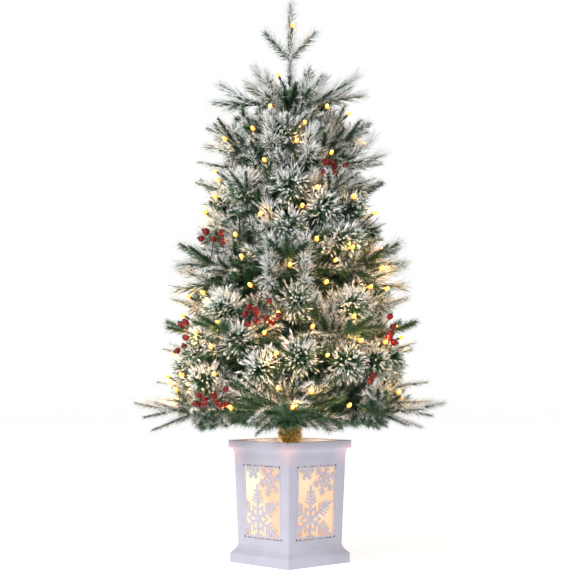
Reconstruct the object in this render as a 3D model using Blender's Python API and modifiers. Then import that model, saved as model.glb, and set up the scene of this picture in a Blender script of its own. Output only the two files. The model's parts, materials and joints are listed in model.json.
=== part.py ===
"""Artificial tabletop tree that stands in a square lantern pot.

The pot is a moulded shell with four snowflake panels over a frosted liner. Inside it are a cement
ballast, the trunk socket and a battery case. A steel pole slides into the socket and carries five
hinge hubs. Each hub holds five branches that fold up, and a fixed crown closes the top.

Metres, +Z up. The origin is the centre of the pot's footprint, on the surface that it stands on.
"""

import math

import bmesh
import bpy
from mathutils import Matrix, Vector

# Fits
GAP = 0.0003  # between pieces that touch or seat on each other
SLIDE_GAP = 0.0005  # between pieces that move past each other

# Pot shell: half the width across its flats at each level
POT_HEIGHT = 0.262
POT_WALL = 0.003
PLINTH_STEP = 0.0125  # how far the plinth stands out from the body's foot
PLINTH_BAND = 0.021
BODY_FOOT_HALF = 0.079
BODY_FOOT_Z = 0.040
BODY_HEAD_HALF = 0.085
RIM_STEP = 0.009  # how far the rim stands out from the body's head
RIM_BAND = 0.016
RIM_TOP_WIDTH = 0.0065
COVE_HEIGHT = 0.016
COVE_STEPS = 4
SKIRT_STEP = 0.0035  # the slope between the body's foot and the plinth
SKIRT_DROP = 0.009
LEDGE = 0.002

# Windows and their snowflake panels
WINDOW_WIDTH = 0.116
WINDOW_HEIGHT = 0.156
WINDOW_SILL = 0.0155  # above the foot of the body
PANEL_GAP = 0.0004
PANEL_THICK = 0.0018
PANEL_RECESS = 0.0006
PANEL_FRAME = 0.0048
RIB_INSET = 0.001  # from a rib's end to the panel's edge
ARM_WIDEN = 1.3  # an arm of a snowflake is this much wider than its barbs
BARB_LEAN = 48.0
BAR_OVERLAP = 0.0004  # how far ribs differ in depth, so that no two faces lie in one plane
# middle by share of the window's width and height, arm, rib width, barbs (place, length), turn
SNOWFLAKES = (
    (-0.13, -0.235, 0.074, 0.0032, ((0.40, 0.32), (0.70, 0.26)), 90.0),
    (0.17, 0.29, 0.034, 0.0030, ((0.55, 0.36),), 30.0),
    (-0.27, 0.41, 0.020, 0.0028, ((0.55, 0.40),), 90.0),
)

# Frosted liner behind the panels
LINER_THICK = 0.0008
LINER_GAP = 0.0005
LINER_BELOW = 0.007  # how far the liner passes the window's sill and head
LINER_ABOVE = 0.009

# Deck that closes the pot round the trunk
DECK_DROP = 0.023  # from the rim down to its upper face
DECK_THICK = 0.003
LIGHT_HOLE_RADIUS = 0.017
LIGHT_HOLE_PITCH = 0.045

# Base plate, battery bay and its sliding door
BASE_RAISE = 0.008
BASE_THICK = 0.003
BOSS_GAP = 0.0014  # from the middle foot, which carries the ballast and the pole, to the door's rails
CELL_RADIUS = 0.0071
CELL_LENGTH = 0.0495
NUB_RADIUS = 0.0026
NUB_TALL = 0.0015
CELL_GAP = 0.001
CELL_COUNT = 3
CELL_LIFT = 0.004
CELL_HEADROOM = 0.0033
BAY_MARGIN = 0.0025
CASE_WALL = 0.0015
CASE_SWITCH_LENGTH = 0.020  # the end of the case that holds the timer button
CASE_BACK_GAP = 0.0145  # from the case to the plinth's inner face
DOOR_THICK = 0.0026
DOOR_LAP = 0.003
DOOR_TRAVEL = 0.046
RIDGE_COUNT = 3
RIDGE_FIRST = 0.012  # from the door's middle to its first finger ridge
RIDGE_PITCH = 0.005
RIDGE_WIDTH = 0.002
RIDGE_HALF_LENGTH = 0.009
RIDGE_TALL = 0.0008
SINK = 0.001  # how far a piece that is joined on reaches into its base
RAIL_WIDTH = 0.003
RAIL_LIP = 0.0018
BUTTON_RADIUS = 0.005
BUTTON_HEAD = 0.0065
BUTTON_HEIGHT = 0.0085
BUTTON_FLANGE = 0.002
BUTTON_BEVEL = 0.0008
BUTTON_BORE = 0.0012

# Ballast, socket and pole
POLE_RADIUS = 0.0095
POLE_WALL = 0.0012
SOCKET_WALL = 0.0014
SOCKET_FLOOR = 0.003
SOCKET_DRAIN = 0.002
SOCKET_ABOVE_DECK = 0.004
BALLAST_HALF_WIDTH = 0.070
BALLAST_FRONT = 0.072
BALLAST_BACK_GAP = 0.0034  # from the cement to the battery case
BALLAST_HEIGHT = 0.049

# Heights of the tree, all above the pot's rim
POLE_TOP = 0.723
HUB_HEIGHTS = (0.063, 0.193, 0.323, 0.453, 0.573)
CROWN_TOP = 0.960
CROWN_FORK = 0.830
CROWN_SIDE_TOP = 0.893
CROWN_SPRAY_BASE = 0.738
GARLAND_FOOT = -0.016
GARLAND_HEAD = 0.050

# Hinge hubs
HUB_WALL = 0.0052
HUB_TALL = 0.014
BRANCHES_PER_HUB = 5
PIVOT_STANDOFF = 0.007  # from the hub's ring to the pivot bars
BAR_RADIUS = 0.0015
CLEVIS_ROOT = 0.0025  # of the clevis that is inside the ring
CLEVIS_NOSE = 0.0055  # of the clevis beyond its bar
CLEVIS_WIDTH = 0.0094
CLEVIS_TALL = 0.013
CLEVIS_FLOOR = 0.0018
SLOT_WIDTH = 0.0052
SLOT_ROOT = 0.0008  # from the ring to the slot
BAR_INSET = 0.001  # from each end of a bar to the clevis's side
FRONT_ANGLE = -45.0  # degrees; the tree's best side faces this corner of the pot

# Branches, one set of values for each hub: length and rise above level
BRANCH_LENGTHS = (0.318, 0.276, 0.240, 0.210, 0.180)
BRANCH_RISES = (4.0, 14.0, 24.0, 32.0, 37.0)
EYE_RADIUS = 0.0040
EYE_HOLE = 0.0020
EYE_WIDTH = 0.0042
STEM_RADIUS = 0.0018
STEM_ROOT = 0.55  # where the stem leaves the eye, as a share of its radius
TIP_RADIUS = 0.0085  # of the needles that a tip is solid to
TIP_END_RADIUS = 0.0030
TIP_ROOT_RADIUS = 0.0027
TIP_FULLEST = 0.45  # where a tip is thickest, by share of its length
TIP_SIDES = 4
STEM_SAG = 0.16  # how far a branch hangs below its straight line, as a share of its length
SIDE_TIP_RISE = 0.12
SIDE_TIP_STAGGER = 0.03
SIDE_TIPS = ((0.40, 0.19, 0.30), (0.66, 0.24, 0.36))  # place and length by share, spread in radians

# Crown at the top of the pole
CROWN_PLUG = 0.030
PLUG_HEAD = 0.003  # above the pole's top
PLUG_NECK = 0.010
CROWN_SWELL = 0.035  # from the sprays' base to where the leader fills out
CROWN_TIP = 0.050
CROWN_SIDE = 0.062
CROWN_SIDE_STAGGER = 0.004
CROWN_SPRAYS = 5
CROWN_SPRAY_STAGGER = (0.014, 0.003)  # every second spray is higher, and each is above the last
CROWN_SPRAY_REACH = 0.130
CROWN_SPRAY_RISE = 0.060

# Needle garland round the foot of the pole
GARLAND_THICK = 0.0137
GARLAND_ROWS = 5
GARLAND_ARC = (0.18, 0.82)  # the part of a half circle that its side follows

# Berry picks: hub, branch on it, place along the branch by share, side of the branch
BERRY_RADIUS = 0.0062
STALK_RADIUS = 0.0009
KNOT_RADIUS = 0.0016
KNOT_TALL = 0.004
PICK_LIFT = 0.004  # from the branch's needles to the knot, and how far to its side
PICK_ASIDE = 0.004
PICK_TILT = (0.30, 0.25)
BERRY_PICKS = (
    (0, 4, 0.50, -1),
    (1, 1, 0.80, 1),
    (1, 3, 0.82, 1),
    (1, 4, 0.36, 1),
    (2, 4, 0.76, -1),
    (3, 0, 0.78, 1),
)
BERRY_SPRAY = ((0.002, 0.0, 0.034), (0.013, 0.006, 0.022), (-0.012, 0.004, 0.024))

# Light string
WIRE_RADIUS = 0.0011
BULB_RADIUS = 0.0030
BULB_LENGTH = 0.014
LOOP_STANDOFF = 0.0042  # from the socket to the wire wound round it
LOOP_TURNS = 3
LOOP_FOOT = 0.085
LOOP_HEAD = 0.205
STEPS_PER_TURN = 10
BULBS_IN_POT = 5
BULB_TAPER = 0.4
BULB_SIDES = 6
WIRE_STANDOFF = 0.0014  # from the hubs to the wire that runs up the pole
CONNECTOR_RADIUS = 0.040  # from the tree's axis to the plug-in connector
CONNECTOR_DROP = 0.006  # from the rim down to the connector's foot
CONNECTOR_SPLIT = 0.014
CONNECTOR_TALL = 0.026
CONNECTOR_COLLAR = 0.001
CONNECTOR_HALF = (0.0035, 0.0045)
COLLAR_RADIUS = 0.0026
WIRE_END_GAP = 0.0007  # from a collar to the wire's end
HUB_PASS = 0.012  # how far above and below a hub its wire runs straight
WIRE_HEAD_DROP = 0.03  # from the pole's head to the wire's end
PLUG_RUN = 0.0076  # how far the wire runs straight out of the plug

# Smoothness
ROUND_STEPS = 20
MIDDLE_STEPS = 14
SMALL_STEPS = 10
EYE_STEPS = 8
SHARP_ANGLE = 40.0  # an edge turns sharp above this
MERGE = 1e-6
CUT_REACH = 0.02  # how far a cutter passes the faces that it cuts
ROOT2 = math.sqrt(2.0)

COLOURS = {
    "pot_plastic": ((0.84, 0.84, 0.90), 0.42, 0.0),
    "panel_plastic": ((0.86, 0.84, 0.90), 0.45, 0.0),
    "frosted_film": ((0.98, 0.86, 0.62), 0.60, 0.0),
    "dark_plastic": ((0.05, 0.09, 0.06), 0.50, 0.0),
    "white_plastic": ((0.82, 0.82, 0.80), 0.45, 0.0),
    "cement": ((0.50, 0.49, 0.47), 0.90, 0.0),
    "steel": ((0.45, 0.46, 0.47), 0.35, 1.0),
    "green_paint": ((0.04, 0.12, 0.06), 0.45, 0.6),
    "needles": ((0.09, 0.20, 0.11), 0.70, 0.0),
    "berry": ((0.45, 0.02, 0.02), 0.25, 0.0),
    "wire": ((0.03, 0.10, 0.04), 0.55, 0.0),
    "cell_jacket": ((0.20, 0.22, 0.24), 0.35, 0.3),
}


# Helpers


def clear_scene():
    for obj in list(bpy.data.objects):
        bpy.data.objects.remove(obj)


def new_collection(name):
    made = bpy.data.collections.new(name)
    bpy.context.scene.collection.children.link(made)
    return made


def material(name):
    found = bpy.data.materials.get(name)
    if found:
        return found
    colour, roughness, metallic = COLOURS[name]
    made = bpy.data.materials.new(name)
    made.use_nodes = True
    shader = made.node_tree.nodes["Principled BSDF"]
    shader.inputs["Base Color"].default_value = (*colour, 1.0)
    shader.inputs["Roughness"].default_value = roughness
    shader.inputs["Metallic"].default_value = metallic
    return made


def part(name, mesh, material_name, matrix=None):
    """A named piece of the tree, in the collection that holds the model."""
    obj = bpy.data.objects.new(name, mesh)
    parts.objects.link(obj)
    if not mesh.materials:
        mesh.materials.append(material(material_name))
    mesh.shade_smooth()
    mesh.set_sharp_from_angle(angle=math.radians(SHARP_ANGLE))
    if matrix is not None:
        obj.matrix_world = matrix


def helper(name, mesh, matrix=None):
    """A cutter, a shape that a piece is joined from, or a guide."""
    obj = bpy.data.objects.new(name, mesh)
    cutters.objects.link(obj)
    obj.hide_render = True
    obj.display_type = "WIRE"
    if matrix is not None:
        obj.matrix_world = matrix
    return obj


def mesh_from(name, build):
    """A mesh made by calling build with an empty bmesh."""
    shape = bmesh.new()
    build(shape)
    made = bpy.data.meshes.new(name)
    shape.to_mesh(made)
    shape.free()
    return made


def box_mesh(name, low, high):
    """A box between two corners."""
    size = [b - a for a, b in zip(low, high)]
    middle = [(a + b) / 2 for a, b in zip(low, high)]
    place = Matrix.Translation(middle) @ Matrix.Diagonal((*size, 1.0))
    return mesh_from(name, lambda shape: bmesh.ops.create_cube(shape, size=1.0, matrix=place))


def rod_mesh(name, radius, length, steps, matrix=None, end_radius=None):
    """A round bar centred on the origin along Z, or placed by matrix."""
    top = radius if end_radius is None else end_radius
    return mesh_from(
        name,
        lambda shape: bmesh.ops.create_cone(
            shape, cap_ends=True, segments=steps, radius1=radius, radius2=top, depth=length,
            matrix=matrix or Matrix.Identity(4),
        ),
    )


def line_mesh(name, points, closed):
    """A chain of edges through points."""
    count = len(points)
    edges = [(i, (i + 1) % count) for i in range(count if closed else count - 1)]
    made = bpy.data.meshes.new(name)
    made.from_pydata([tuple(p) for p in points], edges, [])
    return made


def screw(obj, steps):
    turn = obj.modifiers.new("turn", "SCREW")
    turn.angle = math.tau
    turn.axis = "Z"
    turn.steps = turn.render_steps = steps
    turn.use_merge_vertices = True
    turn.merge_threshold = MERGE
    turn.use_smooth_shade = False


def turned_mesh(name, profile, steps, square=False):
    """A closed profile of (radius, height) points turned about Z. It runs down its outer side.
    With square set, the radii are half-widths across the flats of a four-sided tube."""
    grow = ROOT2 if square else 1.0
    guide = helper(name + "_profile", line_mesh(name, [(r * grow, 0.0, z) for r, z in profile], True))
    screw(guide, 4 if square else steps)
    if square:
        guide.rotation_euler.z = math.pi / 4
    return taken(guide)


def taken(obj):
    """The object's mesh with its modifiers applied and in world space. The object is removed."""
    bpy.context.view_layer.update()
    graph = bpy.context.evaluated_depsgraph_get()
    mesh = bpy.data.meshes.new_from_object(obj.evaluated_get(graph))
    mesh.transform(obj.matrix_world)
    bpy.data.objects.remove(obj)
    mesh.materials.clear()
    return mesh


def joined(meshes):
    """Several meshes as one, not yet fused."""
    shape = bmesh.new()
    for mesh in meshes:
        shape.from_mesh(mesh)
    made = bpy.data.meshes.new("joined")
    shape.to_mesh(made)
    shape.free()
    return made


def combined(base, steps):
    """base with Boolean steps applied to it in turn: each is (operation, mesh, self-crossing)."""
    body = helper("combined", base)
    others = []
    for operation, mesh, crossing in steps:
        other = helper("operand", mesh)
        change = body.modifiers.new(operation, "BOOLEAN")
        change.operation = operation
        change.object = other
        change.solver = "EXACT"
        change.use_self = crossing
        others.append(other)
    mesh = taken(body)
    for other in others:
        bpy.data.objects.remove(other)
    return mesh


def turn_z(degrees):
    return Matrix.Rotation(math.radians(degrees), 4, "Z")


def wire_mesh(name, points, radius):
    """A round wire through points, as a mesh with closed ends."""
    data = bpy.data.curves.new(name, "CURVE")
    data.dimensions = "3D"
    data.bevel_depth = radius
    data.bevel_resolution = 0
    data.use_fill_caps = True
    line = data.splines.new("POLY")
    line.points.add(len(points) - 1)
    for place, point in zip(line.points, points):
        place.co = (*point, 1.0)
    obj = bpy.data.objects.new(name, data)
    cutters.objects.link(obj)
    mesh = taken(obj)
    shape = bmesh.new()
    shape.from_mesh(mesh)
    bmesh.ops.remove_doubles(shape, verts=shape.verts, dist=MERGE)
    shape.to_mesh(mesh)
    shape.free()
    return mesh


def smooth_path(points, per_span):
    """Points along a smooth curve through the given ones, per_span for each stretch."""
    ends = [points[0], *points, points[-1]]
    path = []
    for i in range(1, len(ends) - 2):
        a, b, c, d = (Vector(p) for p in ends[i - 1:i + 3])
        for k in range(per_span):
            t = k / per_span
            path.append(
                0.5 * (2 * b + (c - a) * t + (2 * a - 5 * b + 4 * c - d) * t * t
                       + (3 * b - a - 3 * c + d) * t ** 3)
            )
    return [*path, Vector(points[-1])]


# Pot


def plinth_half():
    return BODY_FOOT_HALF + PLINTH_STEP


def rim_half():
    return BODY_HEAD_HALF + RIM_STEP


def body_head_z():
    return POT_HEIGHT - RIM_BAND - COVE_HEIGHT


def inner_half(z):
    """Half the inner width of the pot's body at height z."""
    share = (z - BODY_FOOT_Z) / (body_head_z() - BODY_FOOT_Z)
    return BODY_FOOT_HALF - POT_WALL + share * (BODY_HEAD_HALF - BODY_FOOT_HALF)


def cove_points():
    """The hollow moulding under the rim, from the rim down to the body."""
    reach = RIM_STEP - POT_WALL
    top = POT_HEIGHT - RIM_BAND
    for k in range(COVE_STEPS + 1):
        angle = math.pi / 2 * k / COVE_STEPS
        yield BODY_HEAD_HALF + reach * (1 - math.sin(angle)), top - COVE_HEIGHT * (1 - math.cos(angle))


def pot_profile():
    outside = [
        (rim_half(), POT_HEIGHT),
        (rim_half(), POT_HEIGHT - RIM_BAND),
        *cove_points(),
        (BODY_FOOT_HALF, BODY_FOOT_Z),
        (BODY_FOOT_HALF + SKIRT_STEP, BODY_FOOT_Z - SKIRT_DROP),
        (plinth_half() - LEDGE, PLINTH_BAND + LEDGE),
        (plinth_half(), PLINTH_BAND),
        (plinth_half(), 0.0),
    ]
    inside = [
        (plinth_half() - POT_WALL, 0.0),
        (plinth_half() - POT_WALL, PLINTH_BAND - LEDGE),
        (BODY_FOOT_HALF - POT_WALL, BODY_FOOT_Z - LEDGE),
        (inner_half(body_head_z()), body_head_z()),
        (rim_half() - RIM_TOP_WIDTH, POT_HEIGHT - RIM_BAND),
        (rim_half() - RIM_TOP_WIDTH, POT_HEIGHT),
    ]
    return outside + inside


def face_matrix(face):
    """The frame of a pot face: X across it, Y inwards, Z up it, origin on its outer surface at the
    middle of the window."""
    lean = math.atan2(BODY_HEAD_HALF - BODY_FOOT_HALF, body_head_z() - BODY_FOOT_Z)
    middle = BODY_FOOT_Z + WINDOW_SILL + WINDOW_HEIGHT / 2
    out = inner_half(middle) + POT_WALL
    return turn_z(90.0 * face) @ Matrix.Translation((0.0, -out, middle)) @ Matrix.Rotation(lean, 4, "X")


def build_pot_shell():
    windows = []
    for face in range(4):
        cut = box_mesh(
            "window",
            (-WINDOW_WIDTH / 2, -CUT_REACH / 2, -WINDOW_HEIGHT / 2),
            (WINDOW_WIDTH / 2, CUT_REACH, WINDOW_HEIGHT / 2),
        )
        cut.transform(face_matrix(face))
        windows.append(cut)
    shell = turned_mesh("pot_shell", pot_profile(), 4, square=True)
    part("pot_shell", combined(shell, [("DIFFERENCE", joined(windows), False)]), "pot_plastic")


def bar_mesh(start, angle, length, width, depth):
    """A flat rib in the panel's plane, from start along angle."""
    reach = Vector((math.cos(angle), 0.0, math.sin(angle))) * length
    rib = box_mesh("rib", (-length / 2, -depth / 2, -width / 2), (length / 2, depth / 2, width / 2))
    middle = Vector(start) + reach / 2
    rib.transform(Matrix.Translation(middle) @ Matrix.Rotation(-angle, 4, "Y"))
    return rib


def snowflake(centre, arm, width, barbs, turn, limit):
    """The ribs of one snowflake. barbs lists (place, length) by share of the arm. Ribs whose start
    lies outside limit (half width, half height) are left out."""
    ribs = []
    for k in range(6):
        angle = turn + k * math.pi / 3
        along = Vector((math.cos(angle), 0.0, math.sin(angle)))
        ribs.append(bar_mesh(centre, angle, arm, width * ARM_WIDEN, PANEL_THICK - BAR_OVERLAP))
        for place, length in barbs:
            start = Vector(centre) + along * arm * place
            if abs(start.x) > limit[0] or abs(start.z) > limit[1]:
                continue
            for side in (-1, 1):
                lean = angle + side * math.radians(BARB_LEAN)
                ribs.append(bar_mesh(start, lean, arm * length, width, PANEL_THICK - 2 * BAR_OVERLAP))
    return ribs


def panel_mesh():
    """One snowflake panel, lying in the XZ plane with its middle at the origin."""
    wide = WINDOW_WIDTH / 2 - PANEL_GAP
    tall = WINDOW_HEIGHT / 2 - PANEL_GAP
    ribs = []
    for across, up, arm, width, barbs, turn in SNOWFLAKES:
        centre = (across * WINDOW_WIDTH, 0.0, up * WINDOW_HEIGHT)
        ribs += snowflake(centre, arm, width, barbs, math.radians(turn), (wide, tall))
    ribs = combined(joined(ribs[:1]), [("UNION", joined(ribs[1:]), True)])
    near, far = wide - RIB_INSET, tall - RIB_INSET
    inside = box_mesh("inside", (-near, -CUT_REACH / 2, -far), (near, CUT_REACH / 2, far))
    ribs = combined(ribs, [("INTERSECT", inside, False)])
    thick = PANEL_THICK / 2
    frame = box_mesh("frame", (-wide, -thick, -tall), (wide, thick, tall))
    opening = box_mesh(
        "opening",
        (-wide + PANEL_FRAME, -CUT_REACH / 2, -tall + PANEL_FRAME),
        (wide - PANEL_FRAME, CUT_REACH / 2, tall - PANEL_FRAME),
    )
    return combined(frame, [("DIFFERENCE", opening, False), ("UNION", ribs, False)])


def build_panels():
    mesh = panel_mesh()
    depth = PANEL_RECESS + PANEL_THICK / 2
    for face, name in enumerate(("front", "right", "back", "left")):
        place = face_matrix(face) @ Matrix.Translation((0.0, depth, 0.0))
        part(f"snowflake_panel_{name}", mesh, "panel_plastic", place)


def build_liner():
    foot = BODY_FOOT_Z + WINDOW_SILL - LINER_BELOW
    head = BODY_FOOT_Z + WINDOW_SILL + WINDOW_HEIGHT + LINER_ABOVE
    outer = [(inner_half(z) - LINER_GAP, z) for z in (head, foot)]
    inner = [(half - LINER_THICK, z) for half, z in reversed(outer)]
    part("diffuser_liner", turned_mesh("liner", outer + inner, 4, square=True), "frosted_film")


def socket_outer():
    return POLE_RADIUS + GAP + SOCKET_WALL


def deck_top():
    return POT_HEIGHT - DECK_DROP


def build_deck():
    """The deck rests where the pot's wall widens to the rim."""
    top = deck_top()
    foot = top - DECK_THICK
    share = (foot - body_head_z()) / COVE_HEIGHT
    wall = inner_half(body_head_z())
    half = wall + share * (rim_half() - RIM_TOP_WIDTH - wall) - GAP * 2
    plate = box_mesh("deck", (-half, -half, foot), (half, half, top))
    middle = (foot + top) / 2
    at = Matrix.Translation((0, 0, middle))
    holes = [rod_mesh("hole", socket_outer() + GAP, CUT_REACH, ROUND_STEPS, at)]
    for k in range(4):
        place = turn_z(45 + 90 * k) @ Matrix.Translation((LIGHT_HOLE_PITCH * ROOT2, 0.0, middle))
        holes.append(rod_mesh("hole", LIGHT_HOLE_RADIUS, CUT_REACH, MIDDLE_STEPS, place))
    part("top_deck", combined(plate, [("DIFFERENCE", joined(holes), False)]), "pot_plastic")


# Base, battery bay


def cell_pitch():
    return CELL_RADIUS * 2 + CELL_GAP


def case_height():
    return CELL_LIFT + CELL_RADIUS * 2 + CELL_HEADROOM + CASE_WALL


def bay():
    """Middle of the battery bay and its half sizes along X and Y."""
    half_x = CELL_LENGTH / 2 + BAY_MARGIN
    half_y = cell_pitch() * CELL_COUNT / 2 + BAY_MARGIN
    back = plinth_half() - POT_WALL - CASE_BACK_GAP
    return (0.0, back - half_y - CASE_WALL), half_x, half_y


def base_top():
    return BASE_RAISE + BASE_THICK


def button_place():
    (x, y), half_x, _ = bay()
    return x - half_x - CASE_WALL - CASE_SWITCH_LENGTH / 2, y


def build_base_plate():
    """The plate has a battery opening with rails for its door, a button hole and a middle foot."""
    (x, y), half_x, half_y = bay()
    half = plinth_half() - POT_WALL - GAP
    plate = box_mesh("base", (-half, -half, BASE_RAISE), (half, half, base_top()))
    opening = box_mesh("bay", (x - half_x, y - half_y, 0.0), (x + half_x, y + half_y, CUT_REACH))
    at = Matrix.Translation((*button_place(), BASE_RAISE))
    hole = rod_mesh("button_hole", BUTTON_RADIUS + SLIDE_GAP, 2 * CUT_REACH, ROUND_STEPS, at)
    rails = []
    door_y = half_y + DOOR_LAP + SLIDE_GAP
    boss_radius = y - door_y - RAIL_WIDTH - BOSS_GAP
    boss_tall = BASE_RAISE + SINK
    boss = rod_mesh("boss", boss_radius, boss_tall, ROUND_STEPS, Matrix.Translation((0, 0, boss_tall / 2)))
    foot = BASE_RAISE - DOOR_THICK - 2 * SLIDE_GAP - RAIL_LIP
    left = x - half_x - DOOR_LAP - RAIL_WIDTH
    right = x + half_x + DOOR_LAP + DOOR_TRAVEL
    for side in (-1, 1):
        near, far = sorted((y + door_y * side, y + (door_y + RAIL_WIDTH) * side))
        rails.append(box_mesh("rail", (left, near, foot), (right, far, boss_tall)))
        near, far = sorted((y + (door_y - RAIL_WIDTH) * side, y + (door_y + RAIL_WIDTH) * side))
        rails.append(box_mesh("lip", (left, near, foot), (right, far, foot + RAIL_LIP)))
    solid = combined(plate, [
        ("DIFFERENCE", joined([opening, hole]), False),
        ("UNION", boss, False),
        ("UNION", joined([rails[0], rails[2]]), False),
        ("UNION", joined([rails[1], rails[3]]), False),
    ])
    part("base_plate", solid, "white_plastic")


def build_battery_bay():
    (x, y), half_x, half_y = bay()
    foot = base_top() + GAP
    top = foot + case_height()
    left = x - half_x - CASE_WALL - CASE_SWITCH_LENGTH
    low = (left - CASE_WALL, y - half_y - CASE_WALL, foot)
    outer = box_mesh("case", low, (x + half_x + CASE_WALL, y + half_y + CASE_WALL, top))
    room = box_mesh("room", (x - half_x, y - half_y, 0.0), (x + half_x, y + half_y, top - CASE_WALL))
    inner = x - half_x - CASE_WALL
    switch = box_mesh("switch", (left, y - half_y, 0.0), (inner, y + half_y, top - CASE_WALL))
    part("battery_case", combined(outer, [("DIFFERENCE", joined([room, switch]), False)]), "dark_plastic")

    along = Matrix.Rotation(math.pi / 2, 4, "Y")
    for k in range(CELL_COUNT):
        offset = (k - (CELL_COUNT - 1) / 2) * cell_pitch()
        place = Matrix.Translation((x, y + offset, foot + CELL_RADIUS + CELL_LIFT)) @ along
        body = rod_mesh("cell", CELL_RADIUS, CELL_LENGTH - NUB_TALL, SMALL_STEPS + 2)
        head = Matrix.Translation((0, 0, CELL_LENGTH / 2 - NUB_TALL))
        nub = rod_mesh("nub", NUB_RADIUS, 2 * NUB_TALL, SMALL_STEPS, head)
        part(f"battery_cell_{k + 1}", combined(body, [("UNION", nub, False)]), "cell_jacket", place)

    door_top = BASE_RAISE - SLIDE_GAP
    reach_x = half_x + DOOR_LAP
    reach_y = half_y + DOOR_LAP
    door = box_mesh("door", (-reach_x, -reach_y, -DOOR_THICK), (reach_x, reach_y, 0.0))
    ridges = []
    for k in range(RIDGE_COUNT):
        near = RIDGE_FIRST + RIDGE_PITCH * k
        low = (near, -RIDGE_HALF_LENGTH, -DOOR_THICK - RIDGE_TALL)
        high = (near + RIDGE_WIDTH, RIDGE_HALF_LENGTH, -DOOR_THICK + SINK)
        ridges.append(box_mesh("ridge", low, high))
    door = combined(door, [("UNION", joined(ridges), False)])
    part("battery_door", door, "white_plastic", Matrix.Translation((x, y, door_top)))


def build_button():
    """A stepped cap whose head rests on the base plate from inside."""
    flange = base_top() + GAP
    tip = flange + BUTTON_FLANGE - BUTTON_HEIGHT
    profile = [
        (BUTTON_HEAD, flange + BUTTON_FLANGE),
        (BUTTON_HEAD, flange),
        (BUTTON_RADIUS, flange),
        (BUTTON_RADIUS, tip + BUTTON_BEVEL),
        (BUTTON_RADIUS - BUTTON_BEVEL, tip),
        (BUTTON_BORE, tip),
        (BUTTON_BORE, flange + BUTTON_FLANGE),
    ]
    x, y = button_place()
    mesh = turned_mesh("button", [(r, z - tip) for r, z in profile], MIDDLE_STEPS)
    part("timer_button", mesh, "dark_plastic", Matrix.Translation((x, y, tip)))


# Ballast, socket and pole


def socket_foot():
    return base_top() + GAP * 2


def build_ballast():
    foot = base_top() + GAP
    top = foot + BALLAST_HEIGHT
    (_, case_y), _, half_y = bay()
    back = case_y - half_y - CASE_WALL - BALLAST_BACK_GAP
    low = (-BALLAST_HALF_WIDTH, -BALLAST_FRONT, foot)
    block = box_mesh("ballast", low, (BALLAST_HALF_WIDTH, back, top))
    at = Matrix.Translation((0, 0, (foot + top) / 2))
    bore = rod_mesh("bore", socket_outer() + GAP, BALLAST_HEIGHT + 2 * CUT_REACH, ROUND_STEPS, at)
    part("ballast_block", combined(block, [("DIFFERENCE", bore, False)]), "cement")


def build_socket():
    foot, head = socket_foot(), deck_top() + SOCKET_ABOVE_DECK
    outer, bore = socket_outer(), POLE_RADIUS + GAP
    floor = foot + SOCKET_FLOOR
    profile = [
        (outer, head),
        (outer, foot),
        (SOCKET_DRAIN, foot),
        (SOCKET_DRAIN, floor),
        (bore, floor),
        (bore, head),
    ]
    part("trunk_socket", turned_mesh("socket", profile, ROUND_STEPS), "steel")


def pole_foot():
    return socket_foot() + SOCKET_FLOOR + GAP


def build_pole():
    outer, bore = POLE_RADIUS, POLE_RADIUS - POLE_WALL
    head = POT_HEIGHT + POLE_TOP
    profile = [(outer, head), (outer, pole_foot()), (bore, pole_foot()), (bore, head)]
    part("trunk_pole", turned_mesh("pole", profile, ROUND_STEPS), "green_paint")


def build_garland():
    """Needles wound round the foot of the pole: a barrel that narrows at both ends."""
    bore = POLE_RADIUS + GAP
    foot, head = POT_HEIGHT + GARLAND_FOOT, POT_HEIGHT + GARLAND_HEAD
    outside = []
    for k in range(GARLAND_ROWS + 1):
        share = k / GARLAND_ROWS
        bulge = math.sin(math.pi * (GARLAND_ARC[0] + (GARLAND_ARC[1] - GARLAND_ARC[0]) * share))
        outside.append((bore + GARLAND_THICK * bulge, head + (foot - head) * share))
    profile = [*outside, (bore, foot), (bore, head)]
    part("trunk_garland", turned_mesh("garland", profile, ROUND_STEPS), "needles")


# Hubs and branches


def hub_radius():
    return POLE_RADIUS + GAP + HUB_WALL


def pivot_radius():
    return hub_radius() + PIVOT_STANDOFF


def hub_height(hub):
    return POT_HEIGHT + HUB_HEIGHTS[hub]


def branch_angle(hub, branch):
    """Degrees about Z. Every second hub is turned by half a pitch."""
    pitch = 360.0 / BRANCHES_PER_HUB
    return FRONT_ANGLE + pitch * branch + (pitch / 2 if hub % 2 else 0.0)


def hub_mesh():
    bore = POLE_RADIUS + GAP
    half = HUB_TALL / 2
    profile = [(hub_radius(), half), (hub_radius(), -half), (bore, -half), (bore, half)]
    ring = turned_mesh("hub", profile, 3 * BRANCHES_PER_HUB)
    blocks, slots, bars = [], [], []
    foot, head = -CLEVIS_TALL / 2, CLEVIS_TALL / 2
    for k in range(BRANCHES_PER_HUB):
        turn = turn_z(360.0 * k / BRANCHES_PER_HUB)
        wide = CLEVIS_WIDTH / 2
        nose = pivot_radius() + CLEVIS_NOSE
        block = box_mesh("block", (hub_radius() - CLEVIS_ROOT, -wide, foot), (nose, wide, head))
        low = (hub_radius() + SLOT_ROOT, -SLOT_WIDTH / 2, foot + CLEVIS_FLOOR)
        slot = box_mesh("slot", low, (nose + CUT_REACH, SLOT_WIDTH / 2, head + CUT_REACH))
        across = Matrix.Translation((pivot_radius(), 0, 0)) @ Matrix.Rotation(math.pi / 2, 4, "X")
        bar = rod_mesh("bar", BAR_RADIUS, CLEVIS_WIDTH - 2 * BAR_INSET, EYE_STEPS, across)
        for mesh, group in ((block, blocks), (slot, slots), (bar, bars)):
            mesh.transform(turn)
            group.append(mesh)
    return combined(ring, [
        ("UNION", joined(blocks), False),
        ("DIFFERENCE", joined(slots), False),
        ("UNION", joined(bars), False),
    ])


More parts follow.
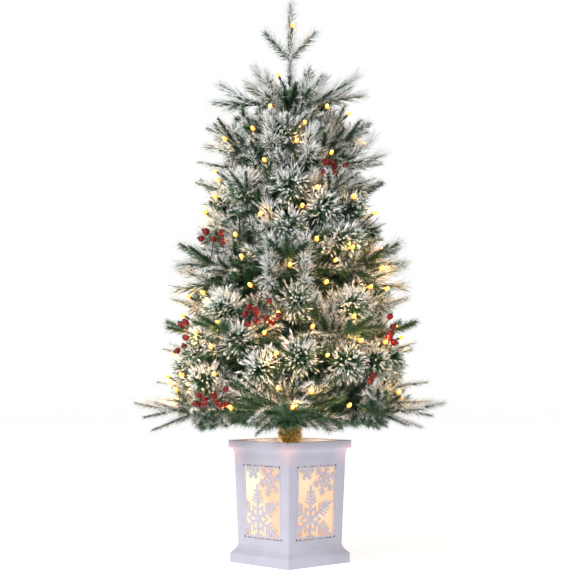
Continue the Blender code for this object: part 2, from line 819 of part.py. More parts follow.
def build_hubs():
    mesh = hub_mesh()
    for k in range(len(HUB_HEIGHTS)):
        place = Matrix.Translation((0, 0, hub_height(k))) @ turn_z(branch_angle(k, 0))
        part(f"hinge_hub_{k + 1}", mesh, "dark_plastic", place)


def stem_point(hub, share):
    """A point on a branch's stem, in the branch's own frame: X outwards, Z up, origin on the pivot."""
    length = BRANCH_LENGTHS[hub]
    rise = math.radians(BRANCH_RISES[hub])
    sag = STEM_SAG * length * (share - share * share)
    return Vector((length * share * math.cos(rise), 0.0, length * share * math.sin(rise) - sag))


def tube_mesh(points, radii, sides=5):
    """A tapered round bar through points, with a radius at each."""
    def build(shape):
        rings = []
        for k, (point, radius) in enumerate(zip(points, radii)):
            run = points[min(k + 1, len(points) - 1)] - points[max(k - 1, 0)]
            lean = run.to_track_quat("Z", "Y").to_matrix()
            ring = []
            for n in range(sides):
                angle = math.tau * (n + 0.5) / sides
                out = lean @ Vector((math.cos(angle), math.sin(angle), 0.0))
                ring.append(shape.verts.new(point + out * radius))
            rings.append(ring)
        shape.faces.new(list(reversed(rings[0])))
        shape.faces.new(rings[-1])
        for low, high in zip(rings, rings[1:]):
            for n in range(sides):
                m = (n + 1) % sides
                shape.faces.new((low[n], low[m], high[m], high[n]))
    return mesh_from("tube", build)


def tip_mesh(root, out):
    """A needle-clad tip from root: slim where it leaves the stem, full along its middle."""
    places = (0.0, TIP_FULLEST, 1.0)
    radii = (TIP_ROOT_RADIUS, TIP_RADIUS, TIP_END_RADIUS)
    return tube_mesh([root + out * place for place in places], radii, TIP_SIDES)


def eye_turn():
    """Lays a shape turned about Z on the pivot's axis, with its flats level."""
    return Matrix.Rotation(math.pi / 2, 4, "X") @ turn_z(180.0 / EYE_STEPS)


def eye_mesh():
    """The flat ring at a branch's root that turns on the hub's pivot bar."""
    half = EYE_WIDTH / 2
    profile = [(EYE_RADIUS, half), (EYE_RADIUS, -half), (EYE_HOLE, -half), (EYE_HOLE, half)]
    ring = turned_mesh("eye", profile, EYE_STEPS)
    ring.transform(eye_turn())
    return ring


def branch_mesh(hub):
    """A branch in its own frame: the eye, a stem that swells into needles, and four side tips."""
    stations = (
        (0.0, STEM_RADIUS),
        (0.12, STEM_RADIUS),
        (0.38, TIP_RADIUS * 0.6),
        (0.66, TIP_RADIUS),
        (0.88, TIP_RADIUS * 0.85),
        (1.0, TIP_END_RADIUS),
    )
    points = [stem_point(hub, place) for place, _ in stations]
    points[0] = Vector((EYE_RADIUS * STEM_ROOT, 0.0, 0.0))
    solids = [tube_mesh(points, [radius for _, radius in stations])]
    length = BRANCH_LENGTHS[hub]
    rise = math.radians(BRANCH_RISES[hub])
    for place, reach, spread in SIDE_TIPS:
        for side in (-1, 1):
            lift = math.sin(rise) + SIDE_TIP_RISE + SIDE_TIP_STAGGER * side
            out = Vector((math.cos(spread) * math.cos(rise), side * math.sin(spread), lift))
            solids.append(tip_mesh(stem_point(hub, place), out * reach * length))
    hole = rod_mesh("pin_room", EYE_HOLE, CUT_REACH, EYE_STEPS, eye_turn())
    steps = [("UNION", solid, False) for solid in solids]
    return combined(eye_mesh(), [*steps, ("DIFFERENCE", hole, False)])


def branch_matrix(hub, branch):
    out = turn_z(branch_angle(hub, branch))
    return Matrix.Translation((0, 0, hub_height(hub))) @ out @ Matrix.Translation((pivot_radius(), 0, 0))


def build_branches():
    for hub in range(len(HUB_HEIGHTS)):
        mesh = branch_mesh(hub)
        for branch in range(BRANCHES_PER_HUB):
            part(f"branch_{hub + 1}{chr(97 + branch)}", mesh, "needles", branch_matrix(hub, branch))


def build_crown():
    """The plug in the pole's head, a ring of short sprays and the leader with its two side tips."""
    plug = POLE_RADIUS - POLE_WALL - GAP
    rim = Vector((0, 0, POT_HEIGHT))
    levels = (
        (POLE_TOP - CROWN_PLUG, plug),
        (POLE_TOP + PLUG_HEAD, plug),
        (POLE_TOP + PLUG_NECK, STEM_RADIUS * 2),
        (CROWN_SPRAY_BASE + CROWN_SWELL, TIP_RADIUS * 0.8),
        (CROWN_FORK, TIP_RADIUS * 0.6),
        (CROWN_TOP - CROWN_TIP, TIP_RADIUS),
        (CROWN_TOP, TIP_END_RADIUS),
    )
    leader = tube_mesh([rim + Vector((0, 0, z)) for z, _ in levels], [radius for _, radius in levels], 8)
    tips = []
    for side in (-90.0, 90.0):
        out = turn_z(FRONT_ANGLE + side) @ Vector((CROWN_SIDE, 0.0, CROWN_SIDE_TOP - CROWN_FORK))
        root = rim + Vector((0, 0, CROWN_FORK - math.copysign(CROWN_SIDE_STAGGER, side)))
        tips.append(tip_mesh(root, out))
    second, each = CROWN_SPRAY_STAGGER
    for k in range(CROWN_SPRAYS):
        root = rim + Vector((0, 0, CROWN_SPRAY_BASE + second * (k % 2) + each * k))
        turn = turn_z(FRONT_ANGLE + 360.0 / CROWN_SPRAYS * (k + 0.5))
        out = turn @ Vector((CROWN_SPRAY_REACH, 0.0, CROWN_SPRAY_RISE))
        tips.append(tip_mesh(root, out))
    part("crown_spray", combined(leader, [("UNION", tip, False) for tip in tips]), "needles")


def build_berries():
    """Picks of berries on wire stalks, each standing on a branch."""
    for number, (hub, branch, share, side) in enumerate(BERRY_PICKS):
        stalks, balls = [], []
        for spot in BERRY_SPRAY:
            middle = Vector(spot)
            lean = middle.to_track_quat("Z", "Y").to_matrix().to_4x4()
            place = Matrix.Translation(middle / 2) @ lean
            stalks.append(rod_mesh("stalk", STALK_RADIUS, middle.length, 4, place))
            balls.append(mesh_from(
                "berry",
                lambda shape, at=Matrix.Translation(middle) @ lean: bmesh.ops.create_uvsphere(
                    shape, u_segments=6, v_segments=4, radius=BERRY_RADIUS, matrix=at),
            ))
        knot = rod_mesh("knot", KNOT_RADIUS, KNOT_TALL, 6)
        mesh = combined(knot, [("UNION", joined(stalks), True), ("UNION", joined(balls), True)])
        spot = stem_point(hub, share)
        foot = spot + Vector((0.0, side * PICK_ASIDE, TIP_RADIUS + PICK_LIFT))
        place = branch_matrix(hub, branch) @ Matrix.Translation(foot)
        tilt = Matrix.Rotation(-side * PICK_TILT[0], 4, "X") @ Matrix.Rotation(PICK_TILT[1], 4, "Y")
        part(f"berry_pick_{number + 1}", mesh, "berry", place @ tilt)


# Light string


def build_pot_lights():
    """The turns of the light string inside the pot, wound round the socket, with their bulbs."""
    steps = LOOP_TURNS * STEPS_PER_TURN
    radius = socket_outer() + LOOP_STANDOFF + WIRE_RADIUS
    path = []
    for k in range(steps + 1):
        angle = math.tau * LOOP_TURNS * k / steps
        height = LOOP_FOOT + (LOOP_HEAD - LOOP_FOOT) * k / steps
        path.append(Vector((math.cos(angle) * radius, math.sin(angle) * radius, height)))
    wire = wire_mesh("pot_wire", path, WIRE_RADIUS)
    bulbs = []
    for k in range(BULBS_IN_POT):
        at = path[round(steps * (k + 0.5) / BULBS_IN_POT)]
        out = Vector((at.x, at.y, 0.0)).normalized()
        lean = out.to_track_quat("Z", "Y").to_matrix().to_4x4()
        place = Matrix.Translation(at + out * BULB_LENGTH / 2) @ lean
        tip = BULB_RADIUS * BULB_TAPER
        bulbs.append(rod_mesh("bulb", BULB_RADIUS, BULB_LENGTH, BULB_SIDES, place, tip))
    part("pot_light_string", combined(wire, [("UNION", joined(bulbs), False)]), "wire")


def connector_place():
    angle = math.radians(FRONT_ANGLE + 180.0)
    return Vector((math.cos(angle), math.sin(angle), 0.0)) * CONNECTOR_RADIUS


def build_lead():
    """The lead from the battery case up through the deck to a plug-in connector beside the trunk."""
    (x, y), _, _ = bay()
    case_top = base_top() + GAP + case_height()
    out = connector_place()
    foot = POT_HEIGHT - CONNECTOR_DROP
    hole = Vector((-LIGHT_HOLE_PITCH, LIGHT_HOLE_PITCH, 0.0))
    route = [
        (x - 0.020, y + 0.004, case_top + GAP),
        (x - 0.024, y + 0.006, case_top + 0.022),
        (-0.056, 0.050, 0.130),
        (hole.x - 0.004, hole.y + 0.002, deck_top() - 0.030),
        (hole.x + 0.004, hole.y - 0.004, deck_top() + 0.004),
        (out.x, out.y, foot - 0.009),
        (out.x, out.y, foot - CONNECTOR_COLLAR - WIRE_END_GAP),
    ]
    part("lead_wire", wire_mesh("lead", smooth_path(route, 5), WIRE_RADIUS), "wire")
    wide, deep = CONNECTOR_HALF
    for name, low, high in (
        ("lead_socket", foot, foot + CONNECTOR_SPLIT),
        ("tree_plug", foot + CONNECTOR_SPLIT + GAP, foot + CONNECTOR_TALL),
    ):
        body = box_mesh(name, (-wide, -deep, low), (wide, deep, high))
        end = low + CONNECTOR_COLLAR if name == "lead_socket" else high - CONNECTOR_COLLAR
        at = Matrix.Translation((0, 0, end))
        collar = rod_mesh("collar", COLLAR_RADIUS, CONNECTOR_COLLAR * 4, EYE_STEPS, at)
        mesh = combined(body, [("UNION", collar, False)])
        part(name, mesh, "dark_plastic", Matrix.Translation(out) @ turn_z(FRONT_ANGLE))


def build_trunk_wire():
    """The light string's run up the pole. It passes every hub between two branches."""
    start = connector_place()
    head = POT_HEIGHT - CONNECTOR_DROP + CONNECTOR_TALL + CONNECTOR_COLLAR + WIRE_END_GAP
    track = hub_radius() + WIRE_RADIUS + WIRE_STANDOFF
    route = [(start.x, start.y, head), (start.x, start.y, head + PLUG_RUN)]
    for k in range(len(HUB_HEIGHTS)):
        angle = math.radians(FRONT_ANGLE + (144.0 if k % 2 else 180.0))
        for offset in (-HUB_PASS, HUB_PASS):
            route.append((math.cos(angle) * track, math.sin(angle) * track, hub_height(k) + offset))
    head = POT_HEIGHT + POLE_TOP - WIRE_HEAD_DROP
    route.append((math.cos(angle) * track, math.sin(angle) * track, head))
    part("trunk_wire", wire_mesh("trunk_wire", smooth_path(route, 3), WIRE_RADIUS), "wire")


clear_scene()
parts = new_collection("artificial_tabletop_tree")
cutters = new_collection("cutters")
build_pot_shell()
build_panels()
build_liner()
build_deck()
build_base_plate()
build_battery_bay()
build_button()
build_ballast()
build_socket()
build_pole()
build_garland()
build_hubs()
build_branches()
build_crown()
build_berries()
build_pot_lights()
build_lead()
build_trunk_wire()
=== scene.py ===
import json
import math
import random

import bpy
import numpy as np
from mathutils import Matrix, Vector


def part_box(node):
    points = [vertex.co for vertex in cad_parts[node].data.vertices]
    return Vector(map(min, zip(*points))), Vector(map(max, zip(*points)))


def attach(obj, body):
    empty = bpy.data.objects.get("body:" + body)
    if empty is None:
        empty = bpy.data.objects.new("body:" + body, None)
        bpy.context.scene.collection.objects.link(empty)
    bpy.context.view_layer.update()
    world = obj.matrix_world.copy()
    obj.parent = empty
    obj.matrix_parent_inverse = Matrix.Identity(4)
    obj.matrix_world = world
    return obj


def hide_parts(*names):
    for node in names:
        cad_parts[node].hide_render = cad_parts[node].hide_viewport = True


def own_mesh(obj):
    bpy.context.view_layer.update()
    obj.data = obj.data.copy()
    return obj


# Flocked tabletop tree in a lantern pot, dressed over its working frame.
# Sizes are metres, the pot's front face looks along -Y and the tree's best side faces +X -Y.

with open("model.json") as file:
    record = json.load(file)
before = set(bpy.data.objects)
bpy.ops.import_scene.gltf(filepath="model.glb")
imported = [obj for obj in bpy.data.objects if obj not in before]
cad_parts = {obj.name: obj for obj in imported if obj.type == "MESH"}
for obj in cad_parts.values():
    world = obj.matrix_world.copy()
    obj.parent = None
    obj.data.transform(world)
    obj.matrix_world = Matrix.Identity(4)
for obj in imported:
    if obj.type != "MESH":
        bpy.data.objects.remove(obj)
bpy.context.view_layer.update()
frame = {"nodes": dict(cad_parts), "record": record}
nodes = frame["nodes"]
joints = {j["name"]: j for j in frame["record"]["behaviour"]["joints"]}
bestSide = math.radians(-45)
print("frame loaded:", len(nodes), "nodes")


def addNode(tree, kind, settings=None, inputs=None):
    node = tree.nodes.new(kind)
    for key, value in (settings or {}).items():
        setattr(node, key, value)
    for key, value in (inputs or {}).items():
        if isinstance(value, bpy.types.NodeSocket):
            tree.links.new(value, node.inputs[key])
        else:
            node.inputs[key].default_value = value
    return node


def linear(hexText):
    channels = [int(hexText[i:i + 2], 16) / 255 for i in (1, 3, 5)]
    return tuple(c / 12.92 if c <= 0.04045 else ((c + 0.055) / 1.055) ** 2.4 for c in channels) + (1.0,)


def newMaterial(name, roughness, metallic=0.0, ior=1.5):
    mat = bpy.data.materials.new(name)
    mat.use_nodes = True
    shader = mat.node_tree.nodes["Principled BSDF"]
    shader.inputs["Roughness"].default_value = roughness
    shader.inputs["Metallic"].default_value = metallic
    if metallic == 0:
        shader.inputs["IOR"].default_value = ior
    return mat, mat.node_tree, shader


def noise(tree, coords, grainMm, detail):
    inputs = {"Vector": coords, "Scale": 1000 / grainMm, "Detail": detail}
    return addNode(tree, "ShaderNodeTexNoise", inputs=inputs)


def rampNode(tree, value, *stops):
    # stops of place and colour: the two ends first, then those between
    ramp = addNode(tree, "ShaderNodeValToRGB", inputs={0: value})
    ends = list(ramp.color_ramp.elements)
    for end, (place, colour) in zip(ends, stops):
        end.position, end.color = place, linear(colour)
    for place, colour in stops[2:]:
        ramp.color_ramp.elements.new(place).color = linear(colour)
    return ramp.outputs["Color"]


def plainMaterial(name, roughness, dark, light, grainMm, bumpMm=0, bumpHigh=0, **more):
    # two tones in patches and a fine relief, laid in the piece's own space
    mat, tree, shader = newMaterial(name, roughness, more.get("metallic", 0.0), more.get("ior", 1.5))
    coords = addNode(tree, "ShaderNodeTexCoord").outputs["Object"]
    if "drawn" in more:
        inputs = {"Vector": coords, "Scale": (1, 1, more["drawn"])}
        coords = addNode(tree, "ShaderNodeMapping", inputs=inputs).outputs[0]
    grain = noise(tree, coords, grainMm, more.get("detail", 3.0))
    low, high = more.get("span", (0.3, 0.7))
    tone = rampNode(tree, grain.outputs["Fac"], (low, dark), (high, light))
    tree.links.new(tone, shader.inputs["Base Color"])
    if bumpMm:
        grain = noise(tree, coords, bumpMm, more.get("bumpDetail", 2.0))
        inputs = {"Height": grain.outputs["Fac"], "Strength": 0.6, "Distance": bumpHigh / 1000}
        bump = addNode(tree, "ShaderNodeBump", inputs=inputs)
        tree.links.new(bump.outputs["Normal"], shader.inputs["Normal"])
    return mat, tree, shader, coords


def glows(shader, colour, strength):
    for name, value in (("Emission Color", colour), ("Emission Strength", strength)):
        if isinstance(value, bpy.types.NodeSocket):
            shader.id_data.links.new(value, shader.inputs[name])
        else:
            shader.inputs[name].default_value = value


def mathNode(tree, operation, *values):
    return addNode(tree, "ShaderNodeMath", {"operation": operation}, dict(enumerate(values))).outputs[0]


def mixNode(tree, *values):
    return addNode(tree, "ShaderNodeMixRGB", inputs=dict(enumerate(values))).outputs[0]


def mapRange(tree, value, low, high, toLow=0.0, toHigh=1.0, kind="LINEAR"):
    inputs = {"Value": value, "From Min": low, "From Max": high, "To Min": toLow, "To Max": toHigh}
    return addNode(tree, "ShaderNodeMapRange", {"interpolation_type": kind}, inputs).outputs[0]


def smoothRange(tree, value, low, high, toLow=0.0, toHigh=1.0):
    return mapRange(tree, value, low, high, toLow, toHigh, "SMOOTHSTEP")


def lampAt(name, at, body, watts, light, soft):
    # a small point lamp that rides with its body
    lamp = bpy.data.lights.new(name, "POINT")
    lamp.energy = watts
    lamp.color = linear(light)[:3]
    lamp.shadow_soft_size = soft
    obj = scratch(name, lamp)
    obj.location = at
    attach(obj, body)


def upBy(height):
    return Vector((0, 0, height))


def compass(turn, rise=0.0):
    return Vector((math.cos(turn), math.sin(turn), rise))


def scratch(name, data):
    obj = bpy.data.objects.new(name, data)
    bpy.context.scene.collection.objects.link(obj)
    return obj


def meshObject(name, mesh, mat, body, smooth=False):
    obj = scratch(name, mesh)
    mesh.materials.clear()
    mesh.materials.append(mat)
    if smooth:
        mesh.shade_smooth()
    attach(obj, body)
    return obj


def meshOf(name, verts, faces):
    mesh = bpy.data.meshes.new(name)
    mesh.from_pydata([tuple(v) for v in verts], [], faces)
    mesh.update()
    return mesh


def applied(obj):
    # the object's mesh with its modifiers, the object itself removed
    graph = bpy.context.evaluated_depsgraph_get()
    graph.update()
    mesh = bpy.data.meshes.new_from_object(obj.evaluated_get(graph))
    mesh.transform(obj.matrix_world)
    bpy.data.objects.remove(obj)
    return mesh


def boolean(base, operation, other, crossing=False):
    body, tool = scratch("base", base), scratch("tool", other)
    change = body.modifiers.new("change", "BOOLEAN")
    change.operation = operation
    change.object = tool
    change.use_self = crossing
    mesh = applied(body)
    bpy.data.objects.remove(tool)
    return mesh


def softened(mesh, width, segments, angle):
    # moulded edges are never sharp: a small round on every corner
    obj = scratch("soften", mesh)
    soft = obj.modifiers.new("round", "BEVEL")
    soft.width = width
    soft.segments = segments
    soft.limit_method = "ANGLE"
    soft.angle_limit = math.radians(angle)
    soft.use_clamp_overlap = True
    mesh = applied(obj)
    mesh.shade_smooth()
    mesh.set_sharp_from_angle(angle=math.radians(40))  # degrees
    return mesh


def merged(meshes):
    verts, faces = [], []
    for mesh in meshes:
        start = len(verts)
        verts += [v.co.copy() for v in mesh.vertices]
        faces += [tuple(start + i for i in p.vertices) for p in mesh.polygons]
    return meshOf("merged", verts, faces)


def block(low, high):
    x0, y0, z0 = low
    x1, y1, z1 = high
    verts = [(x, y, z) for z in (z0, z1) for x, y in ((x0, y0), (x1, y0), (x1, y1), (x0, y1))]
    faces = [(3, 2, 1, 0), (4, 5, 6, 7), (0, 1, 5, 4), (1, 2, 6, 5), (2, 3, 7, 6), (3, 0, 4, 7)]
    return meshOf("block", verts, faces)


def tube(points, radii, sides=8, close=True):
    # a round bar along points with a radius at each
    verts, faces = [], []
    if not hasattr(radii, "__len__"):
        radii = [radii] * len(points)
    points = [Vector(p) for p in points]
    side = None
    for k, (point, radius) in enumerate(zip(points, radii)):
        run = (points[min(k + 1, len(points) - 1)] - points[max(k - 1, 0)]).normalized()
        if side is None:
            side = run.orthogonal().normalized()
        side = (side - run * side.dot(run)).normalized()
        other = run.cross(side)
        for n in range(sides):
            turn = math.tau * n / sides
            verts.append(point + (side * math.cos(turn) + other * math.sin(turn)) * radius)
    for k in range(len(points) - 1):
        for n in range(sides):
            m = (n + 1) % sides
            faces.append((k * sides + n, k * sides + m, (k + 1) * sides + m, (k + 1) * sides + n))
    if close:
        faces.append(tuple(reversed(range(sides))))
        faces.append(tuple(range((len(points) - 1) * sides, len(points) * sides)))
    return meshOf("tube", verts, faces)


def ball(at, radius, rings, sides, stretch, axis):
    lean = axis.to_track_quat("Z", "Y")
    verts = [at + lean @ upBy(radius * stretch)]
    for k in range(1, rings):
        r = radius * math.sin(math.pi * k / rings)
        z = radius * stretch * math.cos(math.pi * k / rings)
        for n in range(sides):
            turn = math.tau * n / sides
            verts.append(at + lean @ Vector((r * math.cos(turn), r * math.sin(turn), z)))
    verts.append(at - lean @ upBy(radius * stretch))
    faces = []
    last = len(verts) - 1
    for n in range(sides):
        m = (n + 1) % sides
        faces.append((0, 1 + n, 1 + m))
        for k in range(rings - 2):
            a, b = 1 + k * sides, 1 + (k + 1) * sides
            faces.append((a + n, b + n, b + m, a + m))
        faces.append((last, last - sides + m, last - sides + n))
    return meshOf("ball", verts, faces)


# a low, fairly long view of the tree; angles in degrees, lens in millimetres
view = {"azimuth": 46.4, "distance": 3.255, "eye": 0.421, "tilt": 3.04, "lens": 94.3, "swing": 0.13}

camData = bpy.data.cameras.new("camera")
camData.lens = view["lens"]
camData.sensor_width = 36
cam = scratch("camera", camData)
around = math.radians(view["azimuth"])
cam.location = (view["distance"] * math.sin(around), -view["distance"] * math.cos(around), view["eye"])
cam.rotation_euler = (math.radians(90 + view["tilt"]), 0, around + math.radians(view["swing"]))
bpy.context.scene.camera = cam
bpy.context.scene.view_settings.view_transform = "Standard"

studio = {
    "skyLight": 0.56, "skySeen": 1.0, "keyPower": 64, "keySize": 1.5, "keyAside": -38, "keyHeight": 2.3,
    "keyAway": 2.6, "fillPower": 8, "fillAside": 50, "fillHeight": 1.2, "fillAway": 2.8, "aimHeight": 0.6,
    "floor": "#ECECEC", "floorLight": "#F0F0F0", "floorLift": 0.50, "floorHalf": 9,
}

sky = bpy.data.worlds.new("studioWhite")
bpy.context.scene.world = sky
sky.use_nodes = True
tree = sky.node_tree
seen = addNode(tree, "ShaderNodeLightPath").outputs["Is Camera Ray"]
strength = mapRange(tree, seen, 0, 1, studio["skyLight"], studio["skySeen"])
tree.nodes["Background"].inputs["Color"].default_value = (1, 1, 1, 1)
tree.links.new(strength, tree.nodes["Background"].inputs["Strength"])

for part in ("key", "fill"):
    light = bpy.data.lights.new(part + "Light", "AREA")
    light.energy = studio[part + "Power"]
    light.size = studio["keySize"]
    light.shape = "DISK"
    obj = scratch(part + "Light", light)
    turn, away = around + math.radians(studio[part + "Aside"]), studio[part + "Away"]
    obj.location = (away * math.sin(turn), -away * math.cos(turn), studio[part + "Height"])
    aim = upBy(studio["aimHeight"]) - obj.location
    obj.rotation_euler = aim.to_track_quat("-Z", "Y").to_euler()

floorMat, _, shader, _ = plainMaterial("paperSweep", 0.9, studio["floor"], studio["floorLight"], 400)
glows(shader, (1, 1, 1, 1), studio["floorLift"])
half = studio["floorHalf"]
corners = [(-half, -half, 0), (half, -half, 0), (half, half, 0), (-half, half, 0)]
floor = scratch("floor", meshOf("floor", corners, [(0, 1, 2, 3)]))
floor.data.materials.append(floorMat)
print("camera and light set")

# ABS, injection moulded and milky: a soft satin skin with a faint orange-peel, cool under white
# light; near the corners its thin cove carries a painted pink glow, standing in for the lamps inside
potLook = {
    "base": "#BFBFD0", "shade": "#B6B6C7", "peelMm": 1.4, "glow": "#FF9A88", "glowPower": 0.26,
    "glowIn": 0.42, "glowOut": 0.97, "glowFoot": 0.062, "glowFull": 0.024, "glowHead": 0.017,
}

potPlastic, tree, shader, coords = plainMaterial("milkyAbsMoulded", 0.36, potLook["shade"], potLook["base"],
                                                 60, potLook["peelMm"], 0.05, detail=2.0, ior=1.53)
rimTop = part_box("pot_shell")[1][2]
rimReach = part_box("pot_shell")[1][0]
# painted glow: pink emission in the cove near each corner, in place of the inner lamps' light through the
# wall
split = addNode(tree, "ShaderNodeSeparateXYZ", inputs={0: coords})
sides = [mathNode(tree, "ABSOLUTE", split.outputs[axis]) for axis in ("X", "Y")]
corner = mathNode(tree, "MINIMUM", *sides)
height = split.outputs["Z"]
nearCorner = smoothRange(tree, corner, rimReach * potLook["glowIn"], rimReach * potLook["glowOut"])
upper = smoothRange(tree, height, rimTop - potLook["glowFoot"], rimTop - potLook["glowFull"])
notRim = smoothRange(tree, height, rimTop, rimTop - potLook["glowHead"])
glow = mathNode(tree, "MULTIPLY", nearCorner, upper)
glow = mathNode(tree, "MULTIPLY", glow, notRim)
glow = mathNode(tree, "MULTIPLY", glow, potLook["glowPower"])
glows(shader, linear(potLook["glow"]), glow)

# the same plastic, thinner: the pierced panels, with a faint painted glow standing in for the lamps' warm
# light from behind
panelLook = {"base": "#C4C0D0", "shade": "#BAB5C7", "warm": "#FFC4B0", "paintedBackGlowPower": 0.02}

panelPlastic, _, shader, _ = plainMaterial("milkyAbsPierced", 0.42, panelLook["shade"], panelLook["base"],
                                           25, 1.1, 0.04, detail=2.0, ior=1.53)
# painted glow: an even warm emission over the panels, in place of light shining through them
glows(shader, linear(panelLook["warm"]), panelLook["paintedBackGlowPower"])

# polyester film, frosted by rolling: it hides the lamps, and their warm light through it is a painted
# glow, brightest in front of each lamp and orange where the light falls away
filmLook = {
    "bright": "#FFFFE4", "middle": "#FFE3BE", "dim": "#F9C496", "base": "#8C8070", "pale": "#9A8E7C",
    "power": 0.76, "spread": 0.076, "hot": 0.01,
    # x, y, z and how bright it shows
    "lamps": ((-0.050, -0.075, 0.184, 0.85), (0.075, -0.040, 0.180, 0.32), (0.030, 0.075, 0.185, 0.9),
              (-0.075, 0.050, 0.175, 0.6), (-0.020, -0.075, 0.095, 0.5), (0.075, 0.020, 0.110, 0.22),
              (-0.035, 0.075, 0.100, 0.4), (-0.075, -0.030, 0.095, 0.5)),
}

frostedFilm, tree, shader, coords = plainMaterial("frostedFilmRolled", 0.65, filmLook["base"],
                                                  filmLook["pale"], 30, 0.9, 0.03, ior=1.57)
light = None
for *lamp, shine in filmLook["lamps"]:
    away = addNode(tree, "ShaderNodeVectorMath", {"operation": "DISTANCE"}, {0: coords, 1: lamp})
    near = smoothRange(tree, away.outputs["Value"], filmLook["spread"], filmLook["hot"], 0.0, shine)
    light = near if light is None else mathNode(tree, "ADD", light, near)
tone = rampNode(tree, light, (0.05, filmLook["dim"]), (0.75, filmLook["bright"]), (0.38, filmLook["middle"]))
# painted glow: emission laid round each lamp's place stands in for its light through the film
glows(shader, tone, filmLook["power"])

# polypropylene, moulded black-green: connector shells, hubs and the battery case
darkPlastic = plainMaterial("polypropyleneMoulded", 0.48, "#121C15", "#1D2B20", 12, 0.8, 0.05, ior=1.49)[0]

# polystyrene, moulded off-white with a spark-eroded grain: the base plate and its door
whitePlastic = plainMaterial("polystyreneSparkGrain", 0.55, "#DAD9DC", "#E6E5E8", 40, 0.6, 0.06,
                             ior=1.59)[0]

# cement, cast: pitted, dusty grey
cement = plainMaterial("cementCast", 0.92, "#8B8984", "#B5B3AC", 7, 3, 0.6, detail=6.0, bumpDetail=6.0)[0]

# mild steel tube, drawn and zinc plated: fine lines round the tube
steel = plainMaterial("steelZincDrawn", 0.34, "#A3A6A8", "#C4C6C8", 2, 0.8, 0.02, metallic=1.0,
                      drawn=0.06)[0]

# steel tube, powder coated green: slightly pebbled and semi-matt
polePaint = plainMaterial("steelPowderCoated", 0.45, "#1B3322", "#27452E", 6, 1.2, 0.05)[0]

# zinc-carbon cells in a shrunk plastic jacket: plain, with no print
cellJacket = plainMaterial("cellJacketShrunk", 0.28, "#3B4148", "#4C535B", 30, 4, 0.05, ior=1.5)[0]

# PVC lead, extruded dark green: soft, a little greasy in its shine
wirePvc = plainMaterial("pvcWireExtruded", 0.40, "#16291A", "#213B26", 9, 2, 0.06, ior=1.53)[0]

# CAD pieces that show as they are, by the start of their names
cadLooks = (
    (potPlastic, ("top_deck",)), (whitePlastic, ("base_plate", "battery_door")),
    (cement, ("ballast_block",)),
    (darkPlastic, ("timer_button", "battery_case", "lead_socket", "tree_plug", "hinge_hub")),
    (steel, ("trunk_socket",)), (polePaint, ("trunk_pole",)), (cellJacket, ("battery_cell",)),
    (wirePvc, ("pot_light_string", "lead_wire", "trunk_wire")), (frostedFilm, ("diffuser_liner",)),
)
for mat, starts in cadLooks:
    for name, obj in nodes.items():
        if name.startswith(starts):
            for materialSlot in obj.material_slots:
                materialSlot.material = mat
print("materials of the pot made")

pot = {
    "wall": 0.003, "plinthBand": 0.021, "footZ": 0.040, "footHalf": 0.079, "headHalf": 0.085,
    "rimBand": 0.016, "rimWidth": 0.0065, "cove": 0.016, "coveSteps": 7, "edge": 0.0011,
    "windowWidth": 0.116, "windowHeight": 0.156, "sill": 0.0155, "plinthIn": 0.0025, "chamfer": 0.002,
    "flare": 0.0035, "flareDrop": 0.009,
}
plinthHalf = rimReach - pot["plinthIn"]
headZ = rimTop - pot["rimBand"] - pot["cove"]
lean = math.atan2(pot["headHalf"] - pot["footHalf"], headZ - pot["footZ"])
windowZ = pot["footZ"] + pot["sill"] + pot["windowHeight"] / 2


def innerHalf(z):
    share = (z - pot["footZ"]) / (headZ - pot["footZ"])
    return pot["footHalf"] - pot["wall"] + share * (pot["headHalf"] - pot["footHalf"])


def squareRing(profile):
    # a closed profile of (half width, height) carried round a square
    verts, faces, count = [], [], len(profile)
    for sx, sy in ((1, 1), (-1, 1), (-1, -1), (1, -1)):
        verts += [(sx * half, sy * half, z) for half, z in profile]
    for s in range(4):
        a, b = s * count, (s + 1) % 4 * count
        for k in range(count):
            m = (k + 1) % count
            faces.append((a + m, b + m, b + k, a + k))
    return meshOf("ring", verts, faces)


def faceMatrix(face):
    out = innerHalf(windowZ) + pot["wall"]
    turn = Matrix.Rotation(math.radians(90 * face), 4, "Z")
    return turn @ Matrix.Translation((0, -out, windowZ)) @ Matrix.Rotation(lean, 4, "X")


def potShellMesh():
    reach = rimReach - pot["wall"] - pot["headHalf"]
    coveTop = rimTop - pot["rimBand"]
    outside = [(rimReach, rimTop), (rimReach, coveTop)]
    for k in range(pot["coveSteps"] + 1):
        turn = math.pi / 2 * k / pot["coveSteps"]
        half = pot["headHalf"] + reach * (1 - math.sin(turn))
        outside.append((half, coveTop - pot["cove"] * (1 - math.cos(turn))))
    chamfer = pot["chamfer"]
    outside += [
        (pot["footHalf"], pot["footZ"]), (pot["footHalf"] + pot["flare"], pot["footZ"] - pot["flareDrop"]),
        (plinthHalf - chamfer, pot["plinthBand"] + chamfer), (plinthHalf, pot["plinthBand"]),
        (plinthHalf, 0),
    ]
    inside = [
        (plinthHalf - pot["wall"], 0), (plinthHalf - pot["wall"], pot["plinthBand"] - chamfer),
        (pot["footHalf"] - pot["wall"], pot["footZ"] - chamfer), (innerHalf(headZ), headZ),
        (rimReach - pot["rimWidth"], coveTop), (rimReach - pot["rimWidth"], rimTop),
    ]
    shell = squareRing(outside + inside)
    for face in range(4):
        wide, tall = pot["windowWidth"] / 2, pot["windowHeight"] / 2
        cut = block((-wide, -0.01, -tall), (wide, 0.02, tall))
        cut.transform(faceMatrix(face))
        shell = boolean(shell, "DIFFERENCE", cut)
    return softened(shell, pot["edge"], 3, 18)


shellPiece = meshObject("potShell", potShellMesh(), potPlastic, "pot")
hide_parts("pot_shell")
print("pot shell moulded")

